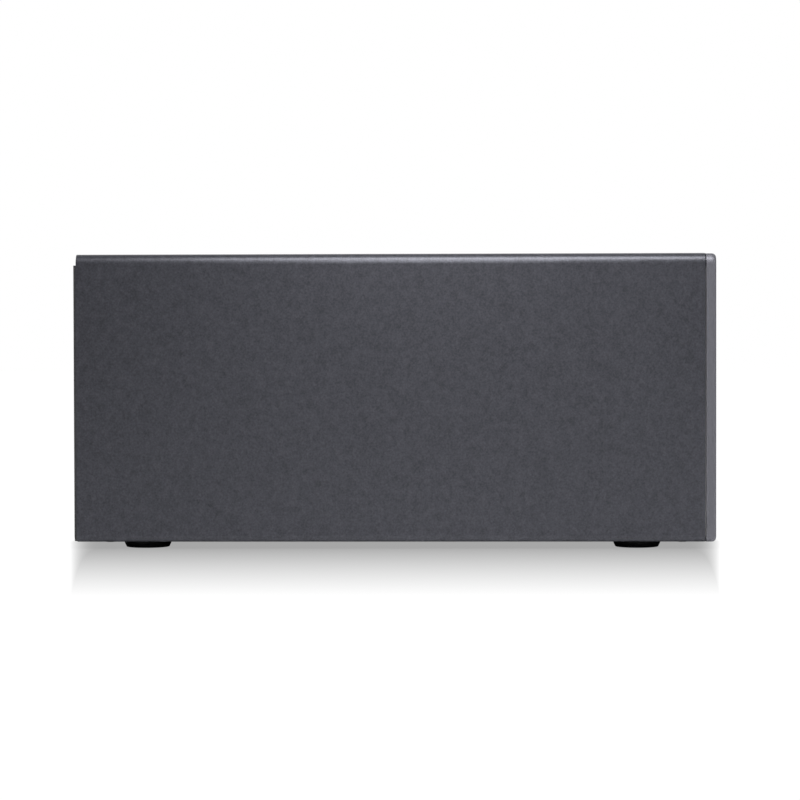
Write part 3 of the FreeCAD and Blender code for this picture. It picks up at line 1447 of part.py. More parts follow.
def make_reel():
    """Take-up reel turned as one profile, with windows in its upper flange."""
    low = tape_z0 - tape_play
    high = tape_z1 + tape_play
    neck_z = chassis_floor + reel_motor_height + rotor_gap
    shaft_z = chassis_floor + rotor_gap
    recess = reel_core_radius - 3.0
    profile = [(0, shaft_z), (reel_shaft_radius, shaft_z), (reel_shaft_radius, neck_z),
               (reel_neck_radius, neck_z), (reel_neck_radius, low - reel_flange),
               (reel_radius, low - reel_flange), (reel_radius, low),
               (reel_core_radius, low), (reel_core_radius, high), (reel_radius, high),
               (reel_radius, high + reel_flange), (recess, high + reel_flange),
               (recess, high + reel_flange - reel_recess), (0, high + reel_flange - reel_recess)]
    reel = turned([V(r, 0, z) for r, z in profile], Z_AXIS, (reel_x, reel_y, 0))
    window = Part.makeCylinder(reel_radius - reel_window_margin, 2 * reel_flange, V(0, 0, high), Z_AXIS,
                               reel_window_angle)
    window = window.cut(rod(reel_core_radius + reel_window_margin, 2 * reel_flange, (0, 0, high)))
    tools = round_array(window, 3, Z_AXIS, (reel_x, reel_y, 0))
    notch_x = reel_x - reel_core_radius
    tools.append(box(notch_x - 1.0, notch_x + 4.0, reel_y - 2.5, reel_y + 2.5,
                     tape_z0 - rotor_gap, tape_z1 + rotor_gap))
    return cut_all(reel, tools)


# ==== tape drive: tape path ====
def make_roller(x, y):
    """A flanged guide roller, turned as one profile round its axle."""
    bore = axle_radius + pivot_clearance
    low = roller_z0 + roller_flange
    high = roller_z1
    profile = [(bore, roller_z0), (roller_flange_radius, roller_z0), (roller_flange_radius, low),
               (roller_radius, low), (roller_radius, high), (roller_flange_radius, high),
               (roller_flange_radius, high + roller_flange), (bore, high + roller_flange)]
    return turned([V(r, 0, z) for r, z in profile], Z_AXIS, (x, y, 0))


def make_carriage():
    block = box(carriage_x0, carriage_x1, head_y - carriage_length / 2, head_y + carriage_length / 2,
                carriage_z0, carriage_z1)
    block = block.makeFillet(carriage_round, edges_along(block, Z_AXIS, lambda c: c.x > carriage_x1 - 0.01))
    height = carriage_z1 - carriage_z0
    bores = [rod(axle_radius + pivot_clearance, height, (head_post_x, y, carriage_z0)) for y in head_post_ys]
    bores.append(rod(head_screw_radius + pivot_clearance, height, (head_screw_x, head_y, carriage_z0)))
    return cut_all(block, bores)


def make_head():
    """Ceramic-faced head bar on the carriage, with a crowned tape face."""
    bar = box(head_x, carriage_x0, head_y - head_length / 2, head_y + head_length / 2,
              carriage_z0 + 0.5, carriage_z1 - 0.5)
    return bar.makeFillet(head_crown, edges_along(bar, Z_AXIS, lambda c: c.x < head_x + 0.01))


def make_head_screw():
    z0 = chassis_floor + rotor_gap
    return rod(head_screw_radius, head_post_top - z0, (head_screw_x, head_y, z0))


def make_stepper():
    motor = rod(stepper_radius, stepper_height, (head_screw_x, head_y, chassis_floor))
    bores = [rod(head_screw_radius + pivot_clearance, stepper_height, (head_screw_x, head_y, chassis_floor))]
    bores += [rod(axle_radius, stepper_height, (head_post_x, y, chassis_floor)) for y in head_post_ys]
    return cut_all(motor, bores)


def make_posts():
    posts = [stepped_post(wheel_x, wheel_y, gear_z - slide_clearance, gear_z + gear_height + 1.0)]
    posts += [stepped_post(x, y, roller_z0 - fit_gap, roller_z1 + 1.0) for x, y in roller_places]
    post_height = head_post_top - chassis_floor
    posts += [rod(axle_radius, post_height, (head_post_x, y, chassis_floor)) for y in head_post_ys]
    return posts


# ==== tape drive: main board and lid screws ====
def make_drive_board():
    top = connector_z0
    shapes = [box(-drive_board_half, drive_board_half, drive_board_y0, drive_board_y1, drive_board_z, top)]
    for middle, width in ((data_x, data_width), (power_x, power_width)):
        shapes.append(box(middle - width / 2, middle + width / 2, drive_board_y1 - connector_depth,
                          rear_connector_y1, top, top + connector_height))
    for x, y, width, length in ((-12, -4, 20, 20), (22, -8, 14, 14), (44, 0, 12, 16), (-44, -6, 14, 10),
                                (0, 26, 12, 8)):
        shapes.append(box(x, x + width, reel_y + y, reel_y + y + length, top, top + chip_height))
    holes = [rod(screw_hole, board_thickness, (x, y, drive_board_z)) for x, y in board_boss_places]
    return cut_all(fused(shapes), holes)


def make_lid_screw(x, y):
    head = rod(lid_screw_radius * 1.9, lid_head_height, (x, y, drive_top))
    shank = rod(lid_screw_radius, drive_lid + lid_screw_length, (x, y, lid_bottom - lid_screw_length))
    return head.fuse(shank).removeSplitter()


def make_drive():
    save("drive_chassis", make_chassis())
    save("drive_lid", make_lid())
    save("drive_bezel", make_drive_bezel())
    save("slot_door", make_door())
    save("eject_button", make_button())
    save("front_board", make_front_board())
    save("status_display", make_display())
    save_group("status_lamps", make_lamps())
    save("cartridge_carrier", make_carrier())
    save("loader_motor", make_loader_motor())
    save("loader_pinion", make_pinion())
    save("loader_wheel", make_wheel())
    save("supply_hub", make_hub())
    save("hub_motor", make_motor(0.0, hub_y, hub_motor_height))
    save("take_up_reel", make_reel())
    save("reel_motor", make_motor(reel_x, reel_y, reel_motor_height))
    for number, (x, y) in enumerate(roller_places, 1):
        save("guide_roller_" + str(number), make_roller(x, y))
    save_group("guide_posts", make_posts())
    save("head_carriage", make_carriage())
    save("tape_head", make_head())
    save("head_screw", make_head_screw())
    save("head_stepper", make_stepper())
    save("drive_board", make_drive_board())
    save_group("lid_screws", [make_lid_screw(x, y) for x, y in lid_screw_places])


make_enclosure()
make_power()
make_electronics()
make_drive()
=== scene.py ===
# %% [markdown]
# # A desktop tape drive, dressed around its construction
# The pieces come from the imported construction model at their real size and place. This lesson gives
# each of them a finish and models the small pieces that give a machine its scale: recessed screws,
# moulded feet, a seven-bar display, bent chip leads. Everything is in metres, with the front at -Y.

# %% Load the construction
import json
from math import cos, hypot, radians, sin

import bpy
import bmesh
from mathutils import Matrix, Quaternion, Vector


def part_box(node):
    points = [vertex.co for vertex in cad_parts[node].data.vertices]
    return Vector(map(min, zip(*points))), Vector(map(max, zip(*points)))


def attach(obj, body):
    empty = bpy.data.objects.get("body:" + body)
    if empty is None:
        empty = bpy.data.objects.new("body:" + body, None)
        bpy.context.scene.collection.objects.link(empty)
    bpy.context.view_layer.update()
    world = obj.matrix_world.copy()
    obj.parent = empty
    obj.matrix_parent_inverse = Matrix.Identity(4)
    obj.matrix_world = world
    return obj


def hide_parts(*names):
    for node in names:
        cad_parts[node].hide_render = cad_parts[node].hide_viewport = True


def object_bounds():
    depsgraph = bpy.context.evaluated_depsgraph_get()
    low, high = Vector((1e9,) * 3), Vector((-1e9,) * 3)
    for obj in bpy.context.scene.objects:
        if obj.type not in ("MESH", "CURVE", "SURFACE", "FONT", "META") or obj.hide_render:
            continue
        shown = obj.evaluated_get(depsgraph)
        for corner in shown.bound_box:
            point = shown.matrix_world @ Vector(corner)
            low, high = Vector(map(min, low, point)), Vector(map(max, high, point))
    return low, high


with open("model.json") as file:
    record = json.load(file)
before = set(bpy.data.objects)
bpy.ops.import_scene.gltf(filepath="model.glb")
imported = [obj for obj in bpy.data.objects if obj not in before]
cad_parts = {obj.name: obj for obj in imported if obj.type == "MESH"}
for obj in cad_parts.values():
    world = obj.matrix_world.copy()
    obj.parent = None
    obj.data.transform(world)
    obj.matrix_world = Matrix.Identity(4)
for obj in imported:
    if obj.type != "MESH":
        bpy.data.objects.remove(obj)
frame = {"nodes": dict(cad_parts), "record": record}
nodes = frame["nodes"]
cad_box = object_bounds()
print("construction box", [[round(c, 4) for c in corner] for corner in cad_box])

# %% Measures that later cells share
MM = 0.001
cover_low, cover_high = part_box("cover_sleeve")
record = frame["record"]
slot_of = {part["node"]: part["material_slot"] for part in record["subparts"]}

# %% [markdown]
# ## Writing shader maths as plain expressions
# A node tree could be wired by hand, one Math node at a time. Long sums are hard to read that way,
# so a small class wraps a socket and lets + - * / build the Math nodes, and one method adds any
# other node from its type, its settings and its inputs.

# %% The socket class and the finish class
class Value:
    """A socket that takes part in sums."""

    def __init__(self, finish, socket):
        self.finish = finish
        self.socket = socket

    def maths(self, operation, first, second=None, clamp=False):
        node = self.finish.tree.nodes.new("ShaderNodeMath")
        node.operation = operation
        node.use_clamp = clamp
        self.finish.feed(node.inputs[0], first)
        if second is not None:
            self.finish.feed(node.inputs[1], second)
        return Value(self.finish, node.outputs[0])

    def __add__(self, other):
        return self.maths("ADD", self, other)

    def __radd__(self, other):
        return self.maths("ADD", other, self)

    def __sub__(self, other):
        return self.maths("SUBTRACT", self, other)

    def __rsub__(self, other):
        return self.maths("SUBTRACT", other, self)

    def __mul__(self, other):
        return self.maths("MULTIPLY", self, other)

    def __rmul__(self, other):
        return self.maths("MULTIPLY", other, self)

    def __truediv__(self, other):
        return self.maths("DIVIDE", self, other)

    def above(self, level):
        return self.maths("GREATER_THAN", self, level)

    def below(self, level):
        return self.maths("LESS_THAN", self, level)

    def clamped(self):
        return self.maths("ADD", self, 0.0, clamp=True)

    def larger(self, other):
        return self.maths("MAXIMUM", self, other)

    def size(self):
        return self.maths("ABSOLUTE", self)


class Nodes:
    """A node tree that is written as sums and calls."""

    def __init__(self, tree, coordinates="Object"):
        self.tree = tree
        self.place = self.node("ShaderNodeTexCoord").outputs[coordinates]

    def feed(self, socket, value):
        if isinstance(value, Value):
            value = value.socket
        if isinstance(value, bpy.types.NodeSocket):
            self.tree.links.new(value, socket)
        else:
            socket.default_value = value

    def node(self, kind, settings=(), **inputs):
        made = self.tree.nodes.new(kind)
        for name, value in dict(settings).items():
            setattr(made, name, value)
        for name, value in inputs.items():
            self.feed(made.inputs[name.replace("_", " ")], value)
        return made

    def axis(self, name):
        split = self.node("ShaderNodeSeparateXYZ", Vector=self.place)
        return Value(self, split.outputs[name])

    def ramp(self, value, low, high):
        """0 at low and 1 at high, eased at both ends."""
        made = self.node("ShaderNodeMapRange", {"interpolation_type": "SMOOTHSTEP"}, Value=value,
                         From_Min=low, From_Max=high)
        return Value(self, made.outputs["Result"])

    def blend_color(self, factor, first, second):
        """The first colour where the factor is 0, the second where it is 1."""
        made = self.node("ShaderNodeMix", {"data_type": "RGBA"})
        self.feed(made.inputs[0], factor)
        self.feed(made.inputs[6], first)
        self.feed(made.inputs[7], second)
        return made.outputs[2]


class Finish(Nodes):
    """A procedural material on the piece's own Object coordinates."""

    def __init__(self, name):
        self.material = bpy.data.materials.new(name)
        self.material.use_nodes = True
        super().__init__(self.material.node_tree)
        self.shader = self.tree.nodes["Principled BSDF"]

    def noise(self, scale, detail=3.0, roughness=0.55, stretch=None):
        place = self.place
        if stretch:
            place = self.node("ShaderNodeMapping", Vector=place, Scale=stretch).outputs[0]
        made = self.node("ShaderNodeTexNoise", Vector=place, Scale=scale, Detail=detail,
                         Roughness=roughness)
        return Value(self, made.outputs[0])

    def bump(self, height, distance, strength=1.0):
        return self.node("ShaderNodeBump", Height=height, Distance=distance, Strength=strength).outputs[0]

    def set(self, **inputs):
        for name, value in inputs.items():
            self.feed(self.shader.inputs[name.replace("_", " ")], value)
        return self.material


def gray(level, warm=0.0):
    """An opaque near-grey colour; warm is added to red and taken from blue."""
    return (level + warm, level, level - warm, 1.0)


# %% [markdown]
# ## Powder coat
# The cover is bent steel sheet with a baked powder coat: charcoal, a little blue, with a fine
# orange-peel grain. Flat paint would look like plastic, so three sizes of noise are used: a fine and
# a coarse grain, which mix in the colour and in the bump, and slow clouds in the roughness.

# %% Coated and painted metal
def coated_metal(name, color, grain, speckle, roughness, depth, metallic=0.0):
    """Baked coat: grain is the number of specks in a metre."""
    finish = Finish(name)
    fine = finish.noise(grain, detail=2.0)
    coarse = finish.noise(grain * 0.28, detail=2.0)
    clouds = finish.noise(14.0, detail=2.0)
    spots = ((fine - 0.5) * 1.5 + (coarse - 0.5) * 0.8 + 0.5).clamped()
    dark = [c * (1 - speckle) for c in color] + [1.0]
    light = [c * (1 + speckle) for c in color] + [1.0]
    skin = finish.blend_color(spots, dark, light)
    rough = roughness + (clouds - 0.5) * 0.06 + (fine - 0.5) * 0.12
    relief = finish.bump(fine * 0.6 + coarse, depth)
    return finish.set(Base_Color=skin, Roughness=rough, Metallic=metallic, Normal=relief)


def brushed_sheet(name, color, stretch, roughness, warm=0.0):
    """Rolled or brushed sheet: grain drawn out along one axis, faint plating clouds."""
    finish = Finish(name)
    grain = finish.noise(1.0, detail=4.0, stretch=stretch)
    clouds = finish.noise(55.0, detail=3.0)
    tint = finish.blend_color((grain * 0.5 + clouds * 0.5).clamped(),
                              gray(color * 0.82, warm), gray(color * 1.12, -warm))
    rough = roughness + (grain - 0.5) * 0.16 + (clouds - 0.5) * 0.1
    relief = finish.bump(grain, 0.00001, 0.6)
    return finish.set(Base_Color=tint, Roughness=rough, Metallic=1.0, Normal=relief)

# %% [markdown]
# ## Plastics, rubber and castings
# A moulded part takes its texture from the tool: a fine spark-eroded grain, even all over. Rubber is
# duller and picks up dust, so it is a little lighter in patches. A casting has a soft, uneven
# skin. Each is one function, because the pieces differ only in colour and grain.

# %% Moulded plastic, rubber, casting
def moulded(name, color, roughness=0.5, grain=2600.0, depth=0.00002, speckle=0.12):
    finish = Finish(name)
    fine = finish.noise(grain, detail=2.0)
    clouds = finish.noise(30.0, detail=2.0)
    skin = finish.blend_color(fine, [c * (1 - speckle) for c in color] + [1.0],
                              [c * (1 + speckle) for c in color] + [1.0])
    rough = roughness + (clouds - 0.5) * 0.12 + (fine - 0.5) * 0.08
    return finish.set(Base_Color=skin, Roughness=rough, Normal=finish.bump(fine, depth))


def rubber(name, level):
    finish = Finish(name)
    fine = finish.noise(1800.0, detail=3.0)
    dust = finish.noise(240.0, detail=4.0, roughness=0.7)
    skin = finish.blend_color(((dust - 0.45) * 1.6).clamped(), gray(level), gray(level * 2.6, 0.001))
    rough = 0.78 + (fine - 0.5) * 0.2
    return finish.set(Base_Color=skin, Roughness=rough, Specular_IOR_Level=0.2,
                      Normal=finish.bump(fine, 0.00003))


def casting(name, level, roughness=0.42):
    finish = Finish(name)
    skin_noise = finish.noise(700.0, detail=3.0)
    flow = finish.noise(35.0, detail=4.0)
    tint = finish.blend_color(flow, gray(level * 0.8), gray(level * 1.15))
    rough = roughness + (flow - 0.5) * 0.2 + (skin_noise - 0.5) * 0.15
    relief = finish.bump(skin_noise, 0.00004)
    return finish.set(Base_Color=tint, Roughness=rough, Metallic=1.0, Normal=relief)


# %% [markdown]
# ## Circuit boards
# A board is green lacquer over copper tracks, and what stands on it is mostly black. One material
# serves the whole board: what lies above the lacquered face, by its height along the board's normal,
# takes the black of the chips, and a brick pattern of thin lines draws the tracks.

# %% Board finish
def circuit_board(name, normal_axis, low, high, part_level=0.018):
    """Green lacquer with tracks between low and high along the normal, dark parts beyond them."""
    finish = Finish(name)
    height = finish.axis(normal_axis)
    parts = height.above(high + 0.1 * MM) + height.below(low - 0.1 * MM)
    turn = {"X": (0.0, radians(90), 0.0), "Y": (radians(90), 0.0, 0.0), "Z": (0.0, 0.0, 0.0)}[normal_axis]
    flat = finish.node("ShaderNodeMapping", Vector=finish.place, Rotation=turn).outputs[0]
    lines = finish.node("ShaderNodeTexBrick", {"offset": 0.37, "squash": 0.6}, Vector=flat, Scale=190.0,
                        Mortar_Size=0.055, Brick_Width=1.7, Row_Height=0.42)
    tracks = Value(finish, lines.outputs["Fac"])
    fine = finish.noise(900.0, detail=2.0)
    lacquer = finish.blend_color(tracks, (0.004, 0.060, 0.030, 1.0), (0.012, 0.115, 0.052, 1.0))
    chip = finish.blend_color(fine, gray(part_level * 0.8), gray(part_level * 1.5))
    skin = finish.blend_color(parts, lacquer, chip)
    rough = 0.28 + parts * 0.3 + (fine - 0.5) * 0.1
    relief = finish.bump(tracks * 0.5 + fine * 0.2, 0.00003)
    return finish.set(Base_Color=skin, Roughness=rough, Normal=relief)


# %% [markdown]
# ## Clear and dark lenses
# The status display is a smoked lens, nearly black until it is lit. The lamps are light pipes: clear
# rods that look pale at the tip. Neither needs glass: behind them is only a dark board.

# %% Lens finishes
def smoked_lens(name, color):
    finish = Finish(name)
    depth_noise = finish.noise(90.0, detail=2.0)
    skin = finish.blend_color(depth_noise, list(color) + [1.0], [c * 1.5 for c in color] + [1.0])
    rough = 0.06 + depth_noise * 0.05
    return finish.set(Base_Color=skin, Roughness=rough, Coat_Weight=0.6, Coat_Roughness=0.04)


# %% Every finish of the unit
cover_coat = coated_metal("cover_coat", (0.076, 0.077, 0.092), 1100.0, 0.36, 0.38, 0.00004, metallic=0.50)
panel_coat = coated_metal("panel_coat", (0.050, 0.050, 0.055), 1500.0, 0.20, 0.50, 0.00004)
bezel_coat = coated_metal("bezel_coat", (0.190, 0.190, 0.216), 2600.0, 0.10, 0.50, 0.00001, metallic=0.60)
zinc_sheet = brushed_sheet("zinc_sheet", 0.40, (900.0, 60.0, 900.0), 0.34)
nickel_sheet = brushed_sheet("nickel_sheet", 0.46, (60.0, 900.0, 900.0), 0.26, warm=0.015)
zinc_screw = brushed_sheet("zinc_screw", 0.58, (1500.0, 1500.0, 1500.0), 0.28)
black_screw = coated_metal("black_screw", (0.022, 0.022, 0.023), 2500.0, 0.25, 0.42, 0.00002, metallic=0.3)
foot_rubber = rubber("foot_rubber", 0.006)
black_plastic = moulded("black_plastic", (0.016, 0.016, 0.017), 0.46)
grey_plastic = moulded("grey_plastic", (0.085, 0.085, 0.090), 0.44)
white_plastic = moulded("white_plastic", (0.70, 0.69, 0.64), 0.40)
display_lens = smoked_lens("display_lens", (0.020, 0.010, 0.010))
lamp_lens = smoked_lens("lamp_lens", (0.34, 0.42, 0.36))
cast_metal = casting("cast_metal", 0.50)
sink_metal = casting("sink_metal", 0.46, roughness=0.34)
post_brass = brushed_sheet("post_brass", 0.62, (900.0, 900.0, 200.0), 0.28, warm=0.16)
ground_steel = brushed_sheet("ground_steel", 0.62, (200.0, 200.0, 2400.0), 0.18)
port_steel = brushed_sheet("port_steel", 0.60, (900.0, 200.0, 900.0), 0.22)
head_ceramic = moulded("head_ceramic", (0.11, 0.095, 0.085), 0.16, grain=1200.0, depth=0.000003)
lead_sleeve = moulded("lead_sleeve", (0.014, 0.014, 0.015), 0.55, grain=1500.0, depth=0.00003)
print(len(bpy.data.materials), "finishes")

# %% [markdown]
# ## Dressing the construction
# Each construction piece names a material slot in its record. Most slots want one finish. The boards
# are the exception: each needs to know where its own lacquered face lies.

# %% Assign the finishes
finish_of_slot = {
    "cover_paint": cover_coat, "bezel_paint": bezel_coat, "panel_paint": panel_coat,
    "zinc_steel": zinc_sheet, "bracket_steel": nickel_sheet, "screw_steel": zinc_screw,
    "black_screw": black_screw, "foot_rubber": foot_rubber, "black_plastic": black_plastic,
    "grey_plastic": grey_plastic, "white_plastic": white_plastic, "display_lens": display_lens,
    "lamp_lens": lamp_lens, "cast_metal": cast_metal, "sink_metal": sink_metal,
    "post_brass": post_brass, "shaft_steel": ground_steel, "port_steel": port_steel,
    "head_ceramic": head_ceramic, "lead_black": lead_sleeve,
}
board_thickness = 1.6 * MM
standoff = 4.0 * MM
axis_number = {"X": 0, "Y": 1, "Z": 2}
boards = {
    "bridge_board": ("Z", "low", 0.0),
    "storage_card": ("Z", "low", 0.0),
    "drive_board": ("Z", "low", 0.0),
    "front_board": ("Y", "high", 0.0),
    "riser_board": ("X", "high", 0.0),
    "supply_board": ("X", "low", standoff),
}


def dress(piece, finish):
    """One finish over the whole piece."""
    piece.data.materials.clear()
    piece.data.materials.append(finish)


for name, piece in nodes.items():
    if name not in boards:
        dress(piece, finish_of_slot[slot_of[name]])
for name, (normal, side, gap) in boards.items():
    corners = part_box(name)
    low = corners[0][axis_number[normal]] + gap
    if side == "high":
        low = corners[1][axis_number[normal]] - board_thickness
    dress(nodes[name], circuit_board(name + "_finish", normal, low, low + board_thickness))
print("dressed", len(nodes), "pieces")

# %% [markdown]
# ## Modelling by hand, from code
# Every new piece starts as a primitive at its own size and is then shaped with the operators that a
# modeller would click: inset, extrude, bevel, resize. Two habits keep that safe in a script: nothing
# is selected before a primitive is added, and faces are picked by where they are or where they point.

# %% Helpers for edit mode
def begin():
    """Object mode with nothing selected, so that an operator acts on the new piece alone."""
    if bpy.context.mode != "OBJECT":
        bpy.ops.object.mode_set(mode="OBJECT")
    bpy.ops.object.select_all(action="DESELECT")


def edit(piece):
    """Edit mode on one piece, with face selection and nothing selected."""
    begin()
    piece.select_set(True)
    bpy.context.view_layer.objects.active = piece
    bpy.ops.object.mode_set(mode="EDIT")
    bpy.ops.mesh.select_mode(type="FACE")
    bpy.ops.mesh.select_all(action="DESELECT")


def pick(piece, wanted):
    """Select the faces for which wanted(centre, normal) is true, and no others."""
    bpy.ops.mesh.select_all(action="DESELECT")
    mesh = bmesh.from_edit_mesh(piece.data)
    for face in mesh.faces:
        if wanted(face.calc_center_median(), face.normal):
            face.select_set(True)
    bmesh.update_edit_mesh(piece.data)


def settle(piece, angle=35.0):
    """Back to object mode with the place in the mesh, shaded smooth except at real edges."""
    begin()
    piece.select_set(True)
    bpy.context.view_layer.objects.active = piece
    bpy.ops.object.transform_apply(location=True, rotation=True, scale=True)
    bpy.ops.object.shade_smooth_by_angle(angle=radians(angle))
    return piece


def apply_modifier(piece, kind, **settings):
    """Add a modifier, set it and apply it at once."""
    begin()
    bpy.context.view_layer.objects.active = piece
    modifier = piece.modifiers.new(kind.lower(), kind)
    for name, value in settings.items():
        setattr(modifier, name, value)
    bpy.ops.object.modifier_apply(modifier=modifier.name)


def joined(name, pieces):
    """Several pieces as one, with its place in its mesh."""
    begin()
    for piece in pieces:
        piece.select_set(True)
    bpy.context.view_layer.objects.active = pieces[0]
    if len(pieces) > 1:
        bpy.ops.object.join()
    whole = bpy.context.view_layer.objects.active
    whole.name = name
    return settle(whole)


def copy_to(master, place, turn=None):
    """A copy with its own mesh, turned and moved."""
    piece = master.copy()
    piece.data = master.data.copy()
    bpy.context.collection.objects.link(piece)
    piece.rotation_mode = "QUATERNION"
    if turn is not None:
        piece.rotation_quaternion = turn
    piece.location = place
    return piece


def solids_of(name):
    """The low and high corner of each separate solid in a construction node, from a merged copy."""
    shape = bmesh.new()
    shape.from_mesh(nodes[name].data)
    bmesh.ops.remove_doubles(shape, verts=shape.verts, dist=0.002 * MM)
    left = set(shape.verts)
    boxes = []
    while left:
        front = [left.pop()]
        group = list(front)
        while front:
            for link in front.pop().link_edges:
                for vertex in link.verts:
                    if vertex in left:
                        left.discard(vertex)
                        front.append(vertex)
                        group.append(vertex)
        low = Vector([min(v.co[i] for v in group) for i in range(3)])
        high = Vector([max(v.co[i] for v in group) for i in range(3)])
        boxes.append((low, high))
    shape.free()
    return sorted(boxes, key=lambda pair: [round(c, 4) for c in pair[0]])


print("modelling helpers ready")

# %% [markdown]
# ## Screws
# The construction has plain shanks and plain discs for heads. A real machine screw has a crowned
# head and a cross recess that takes the driver, and at this scale the recess is what the eye finds.
# One screw is modelled at its real size, pointing down, and copied to each place. The recess is cut
# with a boolean, because a tapered cross can't be extruded cleanly into a round head.

# %% One cross-recess screw
def bar_cutter(length, width, depth):
    """A bar that narrows downwards, its top just above z = 0."""
    begin()
    bpy.ops.mesh.primitive_cube_add(size=1.0, location=(0, 0, -depth / 2 + 0.05 * MM))
    bar = bpy.context.object
    bar.scale = (length, width, depth)
    settle(bar)
    edit(bar)
    pick(bar, lambda centre, normal: normal.z < -0.9)
    bpy.ops.transform.resize(value=(0.35, 0.7, 1.0))
    begin()
    return bar


def cross_screw(name, radius, height, shank_radius, shank_length, flush=False):
    """The head's top is at z = 0 and the shank points down."""
    begin()
    bpy.ops.mesh.primitive_cylinder_add(vertices=36, radius=radius, depth=height,
                                        location=(0, 0, -height / 2))
    screw = bpy.context.object
    screw.name = name
    settle(screw)
    edit(screw)
    pick(screw, lambda centre, normal: normal.z < -0.9)
    if flush:
        bpy.ops.transform.resize(value=(shank_radius / radius,) * 2 + (1.0,))
    else:
        bpy.ops.mesh.inset(thickness=radius - shank_radius)
    bpy.ops.mesh.extrude_region_move(TRANSFORM_OT_translate={"value": (0, 0, -shank_length)})
    bpy.ops.mesh.inset(thickness=shank_radius * 0.25)
    bpy.ops.transform.translate(value=(0, 0, -shank_radius * 0.25))
    pick(screw, lambda centre, normal: normal.z > 0.9)
    if flush:
        bpy.ops.mesh.inset(thickness=radius * 0.06)
    else:
        bpy.ops.mesh.bevel(offset=min(height * 0.6, radius * 0.3), segments=4, affect="EDGES")
    begin()
    reach = radius * 1.15
    across = radius * 0.26
    depth = min(height * 0.85, radius * 0.7)
    for turn in (0.0, 90.0):
        cutter = bar_cutter(reach, across, depth)
        cutter.rotation_euler = (0, 0, radians(turn + 45.0))
        settle(cutter)
        apply_modifier(screw, "BOOLEAN", object=cutter, operation="DIFFERENCE", solver="EXACT")
        bpy.data.objects.remove(cutter)
    return settle(screw, 30.0)


# %% A screw for each place, head outwards
down = Vector((0, 0, -1))
threads = {}


def place_screws(node, rows, body, finish):
    """A row: solid's index, where the shank points, head radius, head height, shank radius, flush."""
    pieces = []
    for index, direction, head_radius, head_height, shank_radius, flush in rows:
        low, high = solids_of(node)[index]
        axis = Vector(direction)
        middle = (low + high) / 2
        half = (high - low) / 2
        reach = abs(half.dot(axis))
        key = (head_radius, head_height, shank_radius, round(reach, 6), flush)
        if key not in threads:
            threads[key] = cross_screw("screw_pattern", head_radius, head_height, shank_radius,
                                       2 * reach - head_height - shank_radius * 0.25, flush)
        pieces.append(copy_to(threads[key], middle - axis * reach, down.rotation_difference(axis)))
    whole = joined(node + "_cut", pieces)
    dress(whole, finish)
    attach(whole, body)
    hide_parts(node)
    return whole

# %% Every visible or named screw
M3_HEAD = (2.75 * MM, 1.0 * MM, 1.5 * MM)
COVER_HEAD = (2.75 * MM, 1.4 * MM, 1.5 * MM)
LID_HEAD = (1.9 * MM, 0.8 * MM, 1.0 * MM)
REAR_HEAD = (2.75 * MM, 1.2 * MM, 1.5 * MM)


def screw_rows(node, direction, head, flush=False):
    """One row for each solid of a node whose screws all point the same way."""
    return [(index, direction) + head + (flush,) for index in range(len(solids_of(node)))]


def mixed_rows(node, head, flush=False):
    """A screw's axis is the side of its box that isn't the head's width; its head is the wider end."""
    rows = []
    for index, (low, high) in enumerate(solids_of(node)):
        size = high - low
        wide = 2 * head[0]
        axis = max(range(3), key=lambda i: abs(size[i] - wide))
        direction = [0.0, 0.0, 0.0]
        direction[axis] = head_side(node, low, high, axis)
        rows.append((index, tuple(direction)) + head + (flush,))
    return rows


def head_side(node, low, high, axis):
    """1 where the shank points to the plus side: the wider end of the solid is its head."""
    middle = (low[axis] + high[axis]) / 2
    spread = [0.0, 0.0]
    for vertex in nodes[node].data.vertices:
        place = vertex.co
        if all(low[i] - MM * 0.01 <= place[i] <= high[i] + MM * 0.01 for i in range(3)):
            others = [place[i] - (low[i] + high[i]) / 2 for i in range(3) if i != axis]
            end = 0 if place[axis] < middle else 1
            spread[end] = max(spread[end], hypot(*others))
    return 1.0 if spread[0] > spread[1] else -1.0


for node, rows in (
        ("cover_screws", screw_rows("cover_screws", (0, 0, 1), COVER_HEAD)),
        ("foot_screws", screw_rows("foot_screws", (0, 0, 1), M3_HEAD)),
        ("rear_screws", mixed_rows("rear_screws", REAR_HEAD, flush=True)),
        ("lid_screws", screw_rows("lid_screws", (0, 0, -1), LID_HEAD)),
        ("chassis_screws", mixed_rows("chassis_screws", M3_HEAD)),
        ("board_screws", mixed_rows("board_screws", M3_HEAD))):
    slot = slot_of[node]
    made = place_screws(node, rows, "enclosure", finish_of_slot[slot])
    print(node, len(rows), "screws", len(made.data.polygons), "faces")
for pattern in threads.values():
    bpy.data.objects.remove(pattern)

# %% [markdown]
# ## The drive's front controls
# Behind the smoked window sits a one-digit display of seven bars and a point, the kind that shows a
# drive's state. Unlit, the bars are a shade paler than the window. Each bar is a long hexagon; a
# round primitive with six sides, stretched and pressed flat, is exactly that. The bars lie just in
# front of the window, inside the bezel's recess.

# %% Seven bars and a point
lens_low, lens_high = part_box("status_display")
digit_height = (lens_high.z - lens_low.z) * 0.62
digit_width = digit_height * 0.55
bar_width = digit_height * 0.11
bar_depth = 0.08 * MM
lean = radians(6.0)


